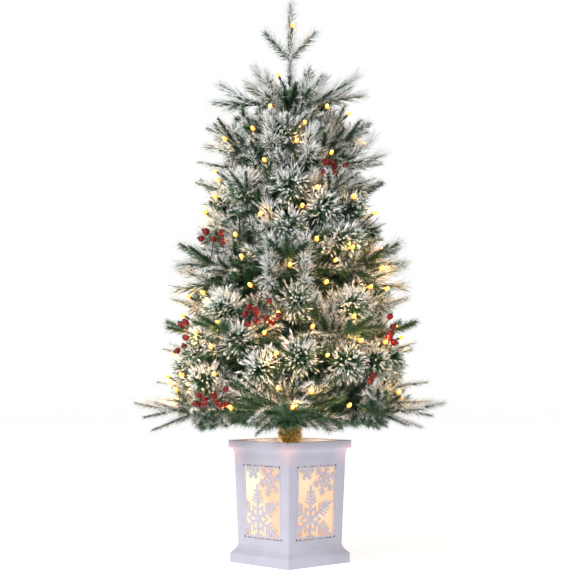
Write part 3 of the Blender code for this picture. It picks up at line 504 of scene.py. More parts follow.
# the panel's pierced snowflakes: centres as shares of the window, lengths in metres, angles in
# degrees; barbs stand at the hexagon's own angle, and the first pair closes a web round the middle
flakes = {
    "thick": 0.0018, "frame": 0.0050, "gap": 0.0004, "recess": 0.0006, "edge": 0.00030, "barbLean": 60,
    "coreThin": 0.00008, "barbThin": 0.00018, "ribStep": 0.00001, "barbStep": 0.000003, "bite": 0.001,
    "big": {"at": (-0.134, -0.230), "arm": 0.073, "turn": 90, "spine": 0.0058, "barb": 0.0036,
            "core": 0.0085, "barbs": ((0.0165, 0.0195), (0.030, 0.0200), (0.038, 0.0178), (0.046, 0.0150),
                                      (0.054, 0.0130))},
    "second": {"at": (0.204, 0.298), "arm": 0.035, "turn": 16, "spine": 0.0042, "barb": 0.0030,
               "core": 0.0062, "barbs": ((0.0105, 0.0105), (0.0195, 0.0110), (0.0260, 0.0085))},
    "third": {"at": (-0.240, 0.435), "arm": 0.022, "turn": 0, "spine": 0.0038, "barb": 0.0028,
              "core": 0.0040, "barbs": ((0.0085, 0.0080), (0.0150, 0.0070))},
}


def rib(start, turn, length, width, depth):
    reach = Vector((math.cos(turn), 0, math.sin(turn)))
    across = Vector((-math.sin(turn), 0, math.cos(turn))) * width / 2
    deep = Vector((0, depth / 2, 0))
    nose = reach * width * 0.45
    end = start + reach * (length - width * 0.45)
    outline = [start - across, end - across * 0.85, end + nose, end + across * 0.85, start + across]
    verts = [p - deep for p in outline] + [p + deep for p in outline]
    n = len(outline)
    faces = [tuple(range(n)), tuple(reversed(range(n, 2 * n)))]
    faces += [(i, i + n, (i + 1) % n + n, (i + 1) % n) for i in range(n)]
    return meshOf("rib", verts, faces)


def flake(style, limit):
    # every rib is a hair thinner than the last, so that no two faces lie in one plane
    centre = Vector((style["at"][0] * pot["windowWidth"], 0, style["at"][1] * pot["windowHeight"]))
    ribs, layer = [], 0
    for k in range(6):
        angle = math.radians(style["turn"]) + k * math.pi / 3
        along = Vector((math.cos(angle), 0, math.sin(angle)))
        thick = flakes["thick"] - flakes["ribStep"] * k
        ribs.append(rib(centre, angle, style["arm"], style["spine"], thick))
        ribs.append(rib(centre, angle + math.pi / 6, style["core"], style["core"] * 1.1,
                        thick - flakes["coreThin"]))
        for place, length in style["barbs"]:
            start = centre + along * place
            if abs(start.x) > limit[0] or abs(start.z) > limit[1]:
                continue
            for side in (-1, 1):
                layer += 1
                bend = angle + side * math.radians(flakes["barbLean"])
                thick = flakes["thick"] - flakes["barbThin"] - flakes["barbStep"] * layer
                ribs.append(rib(start, bend, length, style["barb"], thick))
    return ribs


def panelMesh():
    wide = pot["windowWidth"] / 2 - flakes["gap"]
    tall = pot["windowHeight"] / 2 - flakes["gap"]
    limit = (wide + 0.004, tall + 0.004)
    ribs = [bar for name in ("big", "second", "third") for bar in flake(flakes[name], limit)]
    body = boolean(ribs[0], "UNION", merged(ribs[1:]), True)

    def plate(inset, half):
        return block((-wide + inset, -half, -tall + inset), (wide - inset, half, tall - inset))

    through = 0.01
    body = boolean(body, "INTERSECT", plate(flakes["bite"], through))
    rim = boolean(plate(0, flakes["thick"] / 2), "DIFFERENCE", plate(flakes["frame"], through))
    return softened(boolean(rim, "UNION", body), flakes["edge"], 1, 40)


# black-violet shadow gaps: the snap slots along the panel and the pins at its corners
slotShadow = plainMaterial("absSnapSlotShadow", 0.6, "#2C2A38", "#454254", 3)[0]

slots = {"count": 9, "share": 0.86, "inset": 0.0014, "half": 0.0008, "front": 0.0012, "back": 0.0006}
pins = {"inset": 0.0022, "out": 0.0009, "head": 0.0004, "tail": 0.0018, "radius": 0.0021, "nose": 0.0014}
panel = panelMesh()
for face, name in enumerate(("front", "right", "back", "left")):
    mesh = panel.copy()
    place = faceMatrix(face) @ Matrix.Translation((0, flakes["recess"] + flakes["thick"] / 2, 0))
    mesh.transform(place)
    piece = meshObject("snowflakePanel_" + name, mesh, panelPlastic, "pot")
    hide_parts("snowflake_panel_" + name)
    wide, tall = pot["windowWidth"] / 2, pot["windowHeight"] / 2
    marks = []
    rng = random.Random(face)
    for sx in (-1, 1):
        for sz in (-1, 1):
            at = Vector((sx * (wide - pins["inset"]), -pins["out"], sz * (tall - pins["inset"])))
            route = [at + Vector((0, pins["tail"], 0)), at, at - Vector((0, pins["head"], 0))]
            marks.append(tube(route, [pins["radius"], pins["radius"], pins["nose"]], 12))
    for sz in (-1, 1):
        for k in range(slots["count"]):
            middle = slots["share"] * ((k + 0.5) / slots["count"] - 0.5)
            x = (middle + rng.uniform(-0.02, 0.02)) * pot["windowWidth"]
            z = sz * (tall - slots["inset"])
            half = rng.uniform(0.0012, 0.0042)
            marks.append(block((x - half, -slots["front"], z - slots["half"]),
                               (x + half, slots["back"], z + slots["half"])))
    mesh = merged(marks)
    mesh.transform(place)
    meshObject("panelSlots_" + name, mesh, slotShadow, "pot")
print("snowflake panels pierced")

# frosted lenses set in the deck's light holes; they carry the film's painted glow
lensLook = {"aside": 0.045, "sunk": 0.0042, "rise": (0, 0.0012, 0.0024, 0.003),
            "radii": (0.0165, 0.0165, 0.015, 0.011)}
lenses = []
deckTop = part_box("top_deck")[1][2]
for sx in (-1, 1):
    for sy in (-1, 1):
        at = Vector((sx * lensLook["aside"], sy * lensLook["aside"], deckTop - lensLook["sunk"]))
        lenses.append(tube([at + upBy(rise) for rise in lensLook["rise"]], lensLook["radii"], 32))
meshObject("deckLenses", merged(lenses), frostedFilm, "pot")
print("lantern lit")

# PVC film, cut to a fringe and twisted in wire: deep green, faintly glossy. The tree is flocked,
# so each needle turns from film green to matt white towards its end. Across the map the flock
# grows: v below 0.3 is bare film, and v from 0.3 up is a needle that is white for a longer share
needleLook = {
    "darkGreen": "#173A20", "midGreen": "#376C3E", "paleGreen": "#7A9A6A", "blueGreen": "#27503B",
    "flock": "#FAFBFB", "flockShade": "#D3D9D9", "flockRough": 0.95, "bareBelow": 0.30,
}


def needleMaterial(name, look, roughness):
    mat, tree, shader = newMaterial(name, roughness, ior=1.53)
    uv = addNode(tree, "ShaderNodeUVMap", {"uv_map": "OFBake"})
    along = addNode(tree, "ShaderNodeSeparateXYZ", inputs={0: uv.outputs[0]})
    u, v = along.outputs["X"], along.outputs["Y"]
    # film tone differs from needle to needle
    shuffle = mathNode(tree, "FRACT", mathNode(tree, "MULTIPLY", v, 23.7))
    film = rampNode(tree, shuffle, (0, look["darkGreen"]), (1, look["blueGreen"]), (0.35, look["midGreen"]),
                    (0.7, look["darkGreen"]))
    film = mixNode(tree, mapRange(tree, u, 0.45, 1.0, 0.0, 0.55), film, linear(look["paleGreen"]))
    # flock: where u passes the needle's own limit, with a ragged edge
    speckleAt = addNode(tree, "ShaderNodeMapping", inputs={"Vector": uv.outputs[0], "Scale": (9, 70, 1)})
    speckle = noise(tree, speckleAt.outputs[0], 1000, 3.0).outputs[0]
    limit = mapRange(tree, v, look["bareBelow"], 1.0, 1.15, -0.15)
    ragged = mathNode(tree, "SUBTRACT", mathNode(tree, "MULTIPLY_ADD", speckle, 0.5, u), limit)
    cover = smoothRange(tree, ragged, 0.18, 0.34)
    cover = mathNode(tree, "MULTIPLY", cover, mathNode(tree, "GREATER_THAN", v, look["bareBelow"]))
    white = mixNode(tree, speckle, linear(look["flockShade"]), linear(look["flock"]))
    tree.links.new(mixNode(tree, cover, film, white), shader.inputs["Base Color"])
    tree.links.new(mapRange(tree, cover, 0, 1, roughness, look["flockRough"]), shader.inputs["Roughness"])
    return mat


pvcNeedles = needleMaterial("pvcFilmFlocked", needleLook, 0.46)

# the same green film near the pot; its gold is painted light, standing in for the lantern's warm light on it
lanternLitLook = dict(needleLook, darkGreen="#6E6428", midGreen="#C8A64A", paleGreen="#FBE69C",
                blueGreen="#8A8A3C", flock="#FFF0C0", flockShade="#E8CC80")
lanternLitNeedles = needleMaterial("pvcFilmPaintedLanternLight", lanternLitLook, 0.40)

# twisted galvanised wire wrapped in green-brown PVC tape
tapeWrap = plainMaterial("pvcTapeWrapped", 0.55, "#2A3A24", "#3E4A2C", 5, 2, 0.2, ior=1.53)[0]

# sprig kinds: lengths in metres, opening angles in degrees at the sprig's root and end
sprigs = {
    "tip": {"stem": 0.078, "needle": 0.020, "count": 150, "open": (60, 36), "radius": 0.00095,
            "from": 0.02},
    "slim": {"stem": 0.078, "needle": 0.0165, "count": 150, "open": (50, 28), "radius": 0.00085,
             "from": 0.0},
    "full": {"stem": 0.070, "needle": 0.023, "count": 140, "open": (70, 42), "radius": 0.00095,
             "from": 0.0},
    "rosette": {"stem": 0.030, "needle": 0.055, "count": 210, "open": (98, 24), "radius": 0.00095,
                "from": 0.1, "end": 0.00125, "clots": 0.80, "heart": 0.52},
    "leader": {"stem": 0.078, "needle": 0.026, "count": 210, "open": (56, 40), "radius": 0.00090,
               "from": 0.0},
    "fan": {"stem": 0.085, "needle": 0.046, "count": 90, "open": (32, 14), "radius": 0.00065, "from": 0.10,
            "end": 0.00085},
}
golden = math.pi * (3 - math.sqrt(5))

# how far the greenery fills out at a height, and where its single tips and rosettes show.
# across and height are as seen from one side, in metres from the trunk and from the floor
treeShape = {
    "heights": (0.27, 0.33, 0.42, 0.52, 0.62, 0.72, 0.82, 0.92, 1.00, 1.06, 1.10, 1.30),
    "reach": (0.190, 0.262, 0.242, 0.218, 0.200, 0.180, 0.156, 0.139, 0.118, 0.080, 0.030, 0.010),
    "lowest": 0.270, "highest": 1.03, "sector": 40, "band": 0.085,
    "perBranch": (68, 58, 48, 40, 32), "endFlock": (0.80, -0.05, 0.34, 0.36, 0.34), "bareFlock": -0.08,
    "firstShare": 0.12, "lastShare": 0.93, "squashKeep": 0.42,
    "stemRadii": (0.0019, 0.0012), "eye": 0.0031, "eyeWire": 0.0009,
}
rosettes = (
    # across, height, turn of its face from the viewer: sideways and up, in degrees
    (-0.010, 0.926, 0, 38), (-0.105, 0.804, -18, 12), (0.006, 0.804, 0, 8), (0.080, 0.764, 20, 20),
    (0.002, 0.700, 0, -24), (0.022, 0.559, 8, 10), (-0.141, 0.549, -28, 20), (0.141, 0.557, 30, 22),
    (-0.058, 0.412, -12, -6), (0.028, 0.442, 6, 4), (0.136, 0.434, 32, 10), (-0.107, 0.487, -20, 26),
    (-0.190, 0.393, -38, 4), (-0.205, 0.453, -50, 16), (-0.165, 0.775, -50, 10), (0.120, 0.690, 42, 10),
)
fans = (
    # across, height, then its way out: sideways and up, in degrees
    (-0.070, 0.985, -80, 14), (-0.085, 0.880, -84, 22), (0.060, 0.995, 80, 16), (-0.145, 0.645, -86, 8),
    (-0.150, 0.600, -84, 4), (0.145, 0.640, 86, 12), (0.150, 0.600, 84, 6), (-0.095, 0.700, -80, 20),
    (0.105, 0.850, 75, 24), (-0.020, 0.990, -50, 30),
)


def coneReach(height):
    return float(np.interp(height, treeShape["heights"], treeShape["reach"]))


def sideView(side):
    turn = bestSide + math.radians(90 * side)
    toward = compass(turn)
    return toward, Vector((-toward.y, toward.x, 0))


def onTree(across, height, side=0, proud=0.0):
    # a point on the outside of the greenery
    toward, right = sideView(side)
    reach = coneReach(height) + proud
    depth = math.sqrt(max(reach * reach - across * across, 0))
    return right * across + toward * depth + upBy(height)


def facing(side, sideways, up):
    toward, right = sideView(side)
    flat = toward * math.cos(math.radians(sideways)) + right * math.sin(math.radians(sideways))
    return flat * math.cos(math.radians(up)) + upBy(math.sin(math.radians(up)))


def branchFrame(tag):
    pivot = Vector(joints["fold_" + tag]["pos_m"])
    out = Vector((pivot.x, pivot.y, 0)).normalized()
    tip = max((v.co for v in nodes["branch_" + tag].data.vertices), key=lambda co: (co - pivot).dot(out))
    return pivot, out, tip.copy()


def stemPoint(pivot, tip, share):
    point = pivot.lerp(tip, share)
    point.z += (tip - pivot).length * 0.16 * (share * share - share)
    return point


branches = {name[5:]: branchFrame(name[5:]) for name in sorted(joints) if name.startswith("fold_")}
stemSpots = [(tag, stemPoint(pivot, tip, share)) for tag, (pivot, _, tip) in branches.items()
             for share in np.linspace(0.15, 1.0, 18)]
crownFoot = 0.97  # above this the greenery grows from the crown, which doesn't fold


def nearestStem(point):
    # the branch that a thing at this point hangs from, and the place on its stem
    reach = math.hypot(point.x, point.y)
    farther = 3  # a spot that lies outside the point counts as this much farther off

    def distance(place):
        return (place[1] - point).length + farther * max(0, place[1].xy.length - reach)

    tag, spot = min(stemSpots, key=distance)
    if point.z > crownFoot and (spot - point).length > 0.035 or point.z > 1.02:
        return "crown", upBy(min(point.z - 0.02, 1.15))
    return tag, spot


def newBunch():
    return {"root": [], "mid": [], "end": [], "radius": [], "thick": [], "tone": []}


def addNeedles(bunch, *values):
    for key, value in zip(("root", "mid", "end", "radius", "thick", "tone"), values):
        bunch[key].append(value)


def addSprig(bunch, rng, kind, root, heading, flock, scale=1.0, curl=0.18):
    k = sprigs[kind]
    heading = np.array(heading, float)
    heading /= np.linalg.norm(heading)
    side = np.cross(heading, (0.0, 0.0, 1.0) if abs(heading[2]) < 0.95 else (1.0, 0.0, 0.0))
    side /= np.linalg.norm(side)
    over = np.cross(side, heading)
    reach = k["stem"] * scale
    n = int(k["count"] * (0.35 + 0.65 * scale))
    needle = k["needle"] * (0.65 + 0.35 * min(scale, 1.3))
    t = k["from"] + (1 - k["from"]) * (np.arange(n) + 0.5) / n
    lift = np.array((0.0, 0.0, 1.0)) * curl * reach
    foot = np.array(root) + np.outer(t, heading * reach) + np.outer(t * t, lift)
    run = heading * reach + np.outer(2 * t, lift)
    run /= np.linalg.norm(run, axis=1)[:, None]
    turn = golden * np.arange(n) + rng.normal(0, 0.25, n)
    opening = np.radians(k["open"][0] + (k["open"][1] - k["open"][0]) * t + rng.normal(0, 7, n))
    out = np.outer(np.cos(turn), side) + np.outer(np.sin(turn), over)
    way = run * np.cos(opening)[:, None] + out * np.sin(opening)[:, None]
    heart = k.get("heart", 0.0)
    length = needle * rng.uniform(0.80, 1.12, n)
    length *= (1 - 0.25 * np.clip(t - 0.75, 0, 1) / 0.25) * (1 - 0.45 * heart * t)
    sag = rng.normal(0, 0.09, (n, 3)) * length[:, None]
    snow = flock + 0.34 * way[:, 2] + 0.12 * rng.normal(0, 1, n) + 0.15 * (t - 0.5) - heart * t * t
    tone = np.where(snow > 0.04, 0.31 + 0.67 * np.clip(snow, 0, 1), rng.uniform(0.0, 0.27, n))
    thick = np.full(n, k.get("end", 0.0)) * rng.uniform(0.7, 1.3, n)
    mid, end = foot + way * (length * 0.6)[:, None] + sag * 0.35, foot + way * length[:, None] + sag
    addNeedles(bunch, foot, mid, end, np.full(n, k["radius"]), thick, tone)
    # lumps of flock caught near the needles' ends
    picked = rng.random(n) < k.get("clots", 0.0) * (1 - heart * t)
    if picked.any():
        m = int(picked.sum())
        place = rng.uniform(0.58, 0.9, m)[:, None]
        at = foot[picked] * (1 - place) + end[picked] * place
        along = way[picked] + rng.normal(0, 0.3, (m, 3))
        long = rng.uniform(0.004, 0.0075, m)[:, None]
        addNeedles(bunch, at - along * long, at + along * long * 0.1, at + along * long,
                   np.full(m, 0.0008), rng.uniform(0.0019, 0.0034, m), np.full(m, 0.97))
    # the sprig's own wire
    base, top = np.array([root], float), np.array([np.array(root) + heading * reach + lift])
    wire = (np.array([value]) for value in (0.0011, 0.0, 0.1))  # radius, swelling and tone
    addNeedles(bunch, base, (base + top) / 2 - lift * 0.25, top, *wire)


def needleMesh(name, bunch):
    root, mid, end = (np.concatenate(bunch[key]) for key in ("root", "mid", "end"))
    radius, thick, tone = (np.concatenate(bunch[key]) for key in ("radius", "thick", "tone"))
    run = end - root
    run /= np.linalg.norm(run, axis=1)[:, None]
    side = np.cross(run, (0.31, 0.17, 0.93))
    side /= np.linalg.norm(side, axis=1)[:, None]
    over = np.cross(run, side)
    rings = [side * math.cos(math.tau * i / 3) + over * math.sin(math.tau * i / 3) for i in range(3)]
    # thin needles are three-sided spikes; flocked long ones swell at a second ring before their end
    plain, fat = thick == 0, thick > 0
    verts, loops, sizes, uvs = [], [], [], []
    start = 0
    step = np.array([0, 1, 1, 0, 1, 2, 2, 1, 2, 3, 3, 2, 0, 1, 0.5, 1, 2, 1.5, 2, 3, 2.5]) / 3 / 80
    for chosen, corners, faceSizes, u, v in (
        (plain, [0, 1, 3, 1, 2, 3, 2, 0, 3, 2, 1, 0], [3] * 4, [0, 0, 1] * 3 + [0, 0, 0],
         [0, 0.004, 0.002, 0.004, 0.008, 0.006, 0.008, 0.012, 0.010, 0.008, 0.004, 0]),
        (fat, [0, 1, 4, 3, 1, 2, 5, 4, 2, 0, 3, 5, 3, 4, 6, 4, 5, 6, 5, 3, 6], [4, 4, 4, 3, 3, 3],
         [0, 0, 0.6, 0.6] * 3 + [0.6, 0.6, 1.0] * 3, step),
    ):
        n = int(chosen.sum())
        if not n:
            continue
        count = max(corners) + 1
        points = np.empty((n, count, 3))
        for i in range(3):
            points[:, i] = root[chosen] + rings[i][chosen] * radius[chosen][:, None]
            if count > 4:
                points[:, 3 + i] = mid[chosen] + rings[i][chosen] * thick[chosen][:, None]
        points[:, count - 1] = end[chosen]
        verts.append(points.reshape(-1, 3))
        loops.append((start + np.arange(n)[:, None] * count + np.array(corners)).reshape(-1))
        sizes.append(np.tile(faceSizes, n))
        uv = np.empty((n, len(corners), 2))
        uv[:, :, 0] = u
        uv[:, :, 1] = np.clip(tone[chosen][:, None] + np.array(v), 0, 1)
        uvs.append(uv.reshape(-1, 2))
        start += n * count
    verts, loops, sizes, uvs = (np.concatenate(x) for x in (verts, loops, sizes, uvs))
    mesh = bpy.data.meshes.new(name)
    mesh.vertices.add(len(verts))
    mesh.vertices.foreach_set("co", verts.reshape(-1).astype(np.float32))
    mesh.loops.add(len(loops))
    mesh.loops.foreach_set("vertex_index", loops.astype(np.int32))
    mesh.polygons.add(len(sizes))
    mesh.polygons.foreach_set("loop_start", np.concatenate(([0], np.cumsum(sizes)[:-1])).astype(np.int32))
    layer = mesh.uv_layers.new(name="OFBake")
    layer.data.foreach_set("uv", uvs.reshape(-1).astype(np.float32))
    mesh.update()
    mesh.validate()
    return mesh


bunches = {tag: newBunch() for tag in branches}
bunches["crown"] = newBunch()


def growSprigTo(bunch, rng, pivot, tip, target, flock):
    # a side sprig that leaves the stem below the point it fills and reaches out to it
    length = (tip - pivot).length
    reach = math.hypot(target.x, target.y) - math.hypot(pivot.x, pivot.y)
    share = min(max((reach - 0.055) / length, treeShape["firstShare"]), treeShape["lastShare"])
    root = stemPoint(pivot, tip, share)
    way = target - root
    scale = min(max((way.length - 0.010) / sprigs["tip"]["stem"], 0.45), 1.7)
    kind = "tip" if flock > 0.05 else "full"
    addSprig(bunch, rng, kind, root, way, flock, scale, rng.uniform(-0.04, 0.10))


bareEnds = ("1a", "3a")  # two ends on the best side that the flock missed


def growBranch(tag):
    hub = int(tag[0]) - 1
    pivot, out, tip = branches[tag]
    rng = np.random.default_rng(hub * 10 + ord(tag[1]))
    bunch = bunches[tag]
    azimuth = math.atan2(out.y, out.x)
    count = treeShape["perBranch"][hub]
    for k in range(count):
        spread = math.radians(treeShape["sector"]) * (2 * ((k * 0.618034) % 1) - 1)
        level = treeShape["band"] * (2 * ((k + 0.5) / count) - 1) + rng.normal(0, 0.008)
        outer = 0.97 if k % 5 > 1 else rng.uniform(0.40, 0.80)
        share = 0.9 * outer
        height = max(stemPoint(pivot, tip, share).z + level, treeShape["lowest"] + rng.uniform(0.012, 0.03))
        height = min(height, treeShape["highest"])
        reach = coneReach(height) * outer * (1 + rng.normal(0, 0.035))
        turn = azimuth + spread
        target = compass(turn) * reach + upBy(height)
        flock = rng.normal(0.30, 0.18) if outer > 0.9 else rng.normal(-0.10, 0.12)
        if tag == "1a" and height < 0.37:
            flock -= 0.35
        growSprigTo(bunch, rng, pivot, tip, target, flock)
    # the branch's own end: a long sprig with a pair beside it
    along = (tip - stemPoint(pivot, tip, 0.7)).normalized()
    end = stemPoint(pivot, tip, 0.74)
    flock = rng.normal(treeShape["endFlock"][hub], 0.05)  # the second tier's ends are left bare
    if tag in bareEnds:
        flock = treeShape["bareFlock"]
    addSprig(bunch, rng, "tip", end, tip - end, flock, (tip - end).length / sprigs["tip"]["stem"], 0.0)
    for side in (-1, 1):
        way = along + Vector((out.y, -out.x, 0)) * side * 0.62 + upBy(rng.uniform(-0.15, 0.15))
        addSprig(bunch, rng, "tip", stemPoint(pivot, tip, 0.70), way, flock + 0.06, 0.95, 0.0)


for tag in branches:
    growBranch(tag)
print("branches grown")

# the crown: a leader with two side tips, short sprays round the pole's head
crown = {
    "fork": 1.092, "sideOut": 0.062, "sideUp": 0.063, "base": 0.985, "sprays": 9, "filler": 96,
    "rises": (0.02, 0.20, 0.42, 0.95), "lengths": (1.70, 1.55, 1.15, 0.75),
}


def growCrown():
    rng = np.random.default_rng(4)
    bunch = bunches["crown"]
    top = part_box("crown_spray")[1][2]
    fork = upBy(crown["fork"])
    for low, high in ((1.03, 1.10), (1.085, 1.155), (1.135, top - 0.008)):
        scale = (high - low) / sprigs["tip"]["stem"]
        addSprig(bunch, rng, "leader", (0, 0, low), (0, 0, 1), 0.50, scale, 0.0)
    for side in (-1, 1):
        turn = bestSide + side * math.pi / 2
        way = compass(turn) * crown["sideOut"] + upBy(crown["sideUp"])
        addSprig(bunch, rng, "leader", fork, way, 0.42 if side < 0 else 0.52, 1.0, 0.05)
    for k in range(crown["sprays"] * 4):
        level = k // crown["sprays"]
        turn = bestSide + math.tau * (k + 0.5 * level) / crown["sprays"] + rng.normal(0, 0.12)
        rise = crown["rises"][level] + rng.normal(0, 0.06)
        root = upBy(crown["base"] - 0.07 + 0.025 * level)
        way = compass(turn, rise)
        addSprig(bunch, rng, "tip", root, way, rng.normal(0.08, 0.14), crown["lengths"][level], 0.02)
    # filler along the pole, between the hubs
    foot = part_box("trunk_garland")[1][2] + 0.012
    for k in range(crown["filler"]):
        z = foot + (crown["base"] - foot) * k / crown["filler"]
        turn = golden * k
        way = compass(turn, 0.45)
        addSprig(bunch, rng, "full", upBy(z) + way * 0.012, way, -0.25, 0.95)


growCrown()

singleTips = (
    # across, height, then its way out: sideways and up, in degrees, and its length
    (0.085, 0.905, 80, 12, 0.085), (0.095, 0.840, 78, 10, 0.080), (0.100, 0.800, 80, 14, 0.085),
    (-0.110, 0.850, -82, 8, 0.090), (-0.120, 0.800, -82, 12, 0.085), (-0.110, 0.665, -84, 6, 0.100),
    (0.110, 0.670, 82, 14, 0.090), (-0.165, 0.535, -80, 18, 0.095), (0.160, 0.545, 82, 12, 0.095),
    (-0.195, 0.340, -72, -14, 0.125), (-0.185, 0.330, -66, -22, 0.120), (0.200, 0.375, 80, 6, 0.095),
    (0.195, 0.345, 70, 0, 0.110), (0.180, 0.330, 64, -24, 0.085), (0.150, 0.325, 40, -20, 0.090),
    (-0.180, 0.440, -75, 10, 0.090), (0.185, 0.445, 76, 16, 0.085),
    (0.020, 1.000, 40, 26, 0.090), (-0.030, 0.995, -60, 24, 0.085), (0.050, 0.975, 70, 26, 0.100),
)

# rosettes and fans, dense towards the best side and thinner round the other three
rng = np.random.default_rng(11)
dressing = {"rosetteBack": 0.035, "sideLimit": 0.75}
for side in range(4):
    mirror = -1 if side in (1, 3) else 1
    for across, height, sideways, up in rosettes:
        if side and abs(across) > dressing["sideLimit"] * coneReach(height):
            continue
        way = facing(side, sideways * mirror, up)
        centre = onTree(across * mirror, height, side) - way * dressing["rosetteBack"]
        tag, spot = nearestStem(centre)
        addSprig(bunches[tag], rng, "rosette", centre - way * 0.012, way, rng.normal(0.36, 0.08), 1.0, 0.0)
        link = centre - way * 0.01 - spot
        if link.length > 0.02:
            addSprig(bunches[tag], rng, "full", spot, link, -0.2, link.length / sprigs["full"]["stem"], 0.0)
    for across, height, sideways, up in fans:
        if side == 2:
            continue
        toward, right = sideView(side)
        at = right * across * mirror + toward * 0.03 + upBy(height)
        tag, _ = nearestStem(at)
        for turn in (-14, 12):
            way = facing(side, sideways * mirror, up + turn)
            addSprig(bunches[tag], rng, "fan", at, way, 0.52, 1.0, 0.04)
    for across, height, sideways, up, long in singleTips:
        if side == 2 and height > 0.95:
            continue
        way = facing(side, sideways * mirror, up)
        toward, right = sideView(side)
        at = right * across * mirror + toward * rng.uniform(0.0, 0.05) + upBy(height)
        tag, _ = nearestStem(at)
        scale = long / sprigs["slim"]["stem"]
        addSprig(bunches[tag], rng, "slim", at, way, rng.normal(0.62, 0.10), scale, 0.02)

needleTotal = 0
for tag, bunch in bunches.items():
    mesh = needleMesh("foliage_" + tag, bunch)
    needleTotal += sum(len(part) for part in bunch["tone"])
    if tag == "crown":
        leaves = meshObject("foliage_crown", mesh, pvcNeedles, "tree")
        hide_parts("crown_spray")
        continue
    pivot, out, tip = branches[tag]
    across = Vector((out.y, -out.x, 0))
    leaves = meshObject("foliage_" + tag, mesh, pvcNeedles, "branch_" + tag)
    # tape-wrapped stem, its wire bent into an eye round the hub's bar
    route = [stemPoint(pivot, tip, s) + out * (0.0035 if s == 0 else 0) for s in np.linspace(0, 1, 12)]
    stem = tube(route, np.linspace(*treeShape["stemRadii"], 12), 8)
    ring = [out * math.cos(a) + upBy(math.sin(a)) for a in np.linspace(0, math.tau, 17)]
    eye = tube([pivot + way * treeShape["eye"] for way in ring], treeShape["eyeWire"], 8, False)
    wood = meshObject("stem_" + tag, merged([stem, eye]), tapeWrap, "branch_" + tag, True)
    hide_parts("branch_" + tag)
    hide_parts("branch_" + tag)
    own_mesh(leaves)
print("foliage made:", needleTotal, "needles")


def growGarland():
    rng = np.random.default_rng(9)
    bunch = newBunch()
    low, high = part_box("trunk_garland")[0][2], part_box("trunk_garland")[1][2]
    for k in range(26):
        z = low + 0.006 + (high - low - 0.004) * k / 26
        turn = golden * k
        way = compass(turn, 0.25)
        addSprig(bunch, rng, "full", upBy(z) + way * 0.006, way, 0.05, 0.24)
    return bunch


# the garland's gold is painted lantern light on green film
mesh = needleMesh("foliage_garland", growGarland())
garland = meshObject("foliage_garland", mesh, lanternLitNeedles, "tree")
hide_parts("trunk_garland")
print("garland grown")

# acrylic mini bulbs with a warm lamp inside, orange at the socket and golden at the tip
bulbLook = {
    "core": "#FFBC5A", "amber": "#FFA038", "edge": "#FF8020", "power": 7.0, "rimPower": 2.0,
    "radius": 0.0040, "length": 0.0115, "socketRadius": 0.0027, "socketLength": 0.0130, "sides": 10,
    "leadRadius": 0.0007, "leadGap": 0.0011, "mainRadius": 0.0009, "mainOut": 0.0034,
    "lampWatts": (0.085, 0.020), "light": "#FFC268", "lampBeside": 0.012, "lampSoft": 0.004,
}

bulbGlass, tree, shader, _ = plainMaterial("acrylicBulbLit", 0.2, bulbLook["edge"], bulbLook["core"], 3,
                                           ior=1.49)
uvAlong = addNode(tree, "ShaderNodeUVMap", {"uv_map": "OFBake"})
splitUv = addNode(tree, "ShaderNodeSeparateXYZ", inputs={0: uvAlong.outputs[0]})
tone = rampNode(tree, splitUv.outputs["X"], (0, bulbLook["edge"]), (0.90, bulbLook["core"]),
                (0.62, bulbLook["amber"]))
burn = smoothRange(tree, splitUv.outputs["X"], 0.50, 0.92, bulbLook["rimPower"], bulbLook["power"])
glows(shader, tone, burn)


def bulbMesh(at, way):
    way = way.normalized()
    profile = ((0.0, 0.6), (0.12, 0.95), (0.45, 1.0), (0.75, 0.78), (0.93, 0.40), (1.0, 0.06))
    sides = bulbLook["sides"]
    route = [at + way * bulbLook["length"] * t for t, _ in profile]
    mesh = tube(route, [bulbLook["radius"] * r for _, r in profile], sides)
    layer = mesh.uv_layers.new(name="OFBake")
    for poly in mesh.polygons:
        for corner in poly.loop_indices:
            ring, place = divmod(mesh.loops[corner].vertex_index, sides)
            layer.data[corner].uv = (profile[ring][0], place / sides)
    return mesh


def joinWithUv(name, meshes):
    whole = merged(meshes)
    whole.name = name
    layer = whole.uv_layers.new(name="OFBake")
    at = 0
    for mesh in meshes:
        for item in mesh.uv_layers["OFBake"].data:
            layer.data[at].uv = item.uv
            at += 1
    return whole


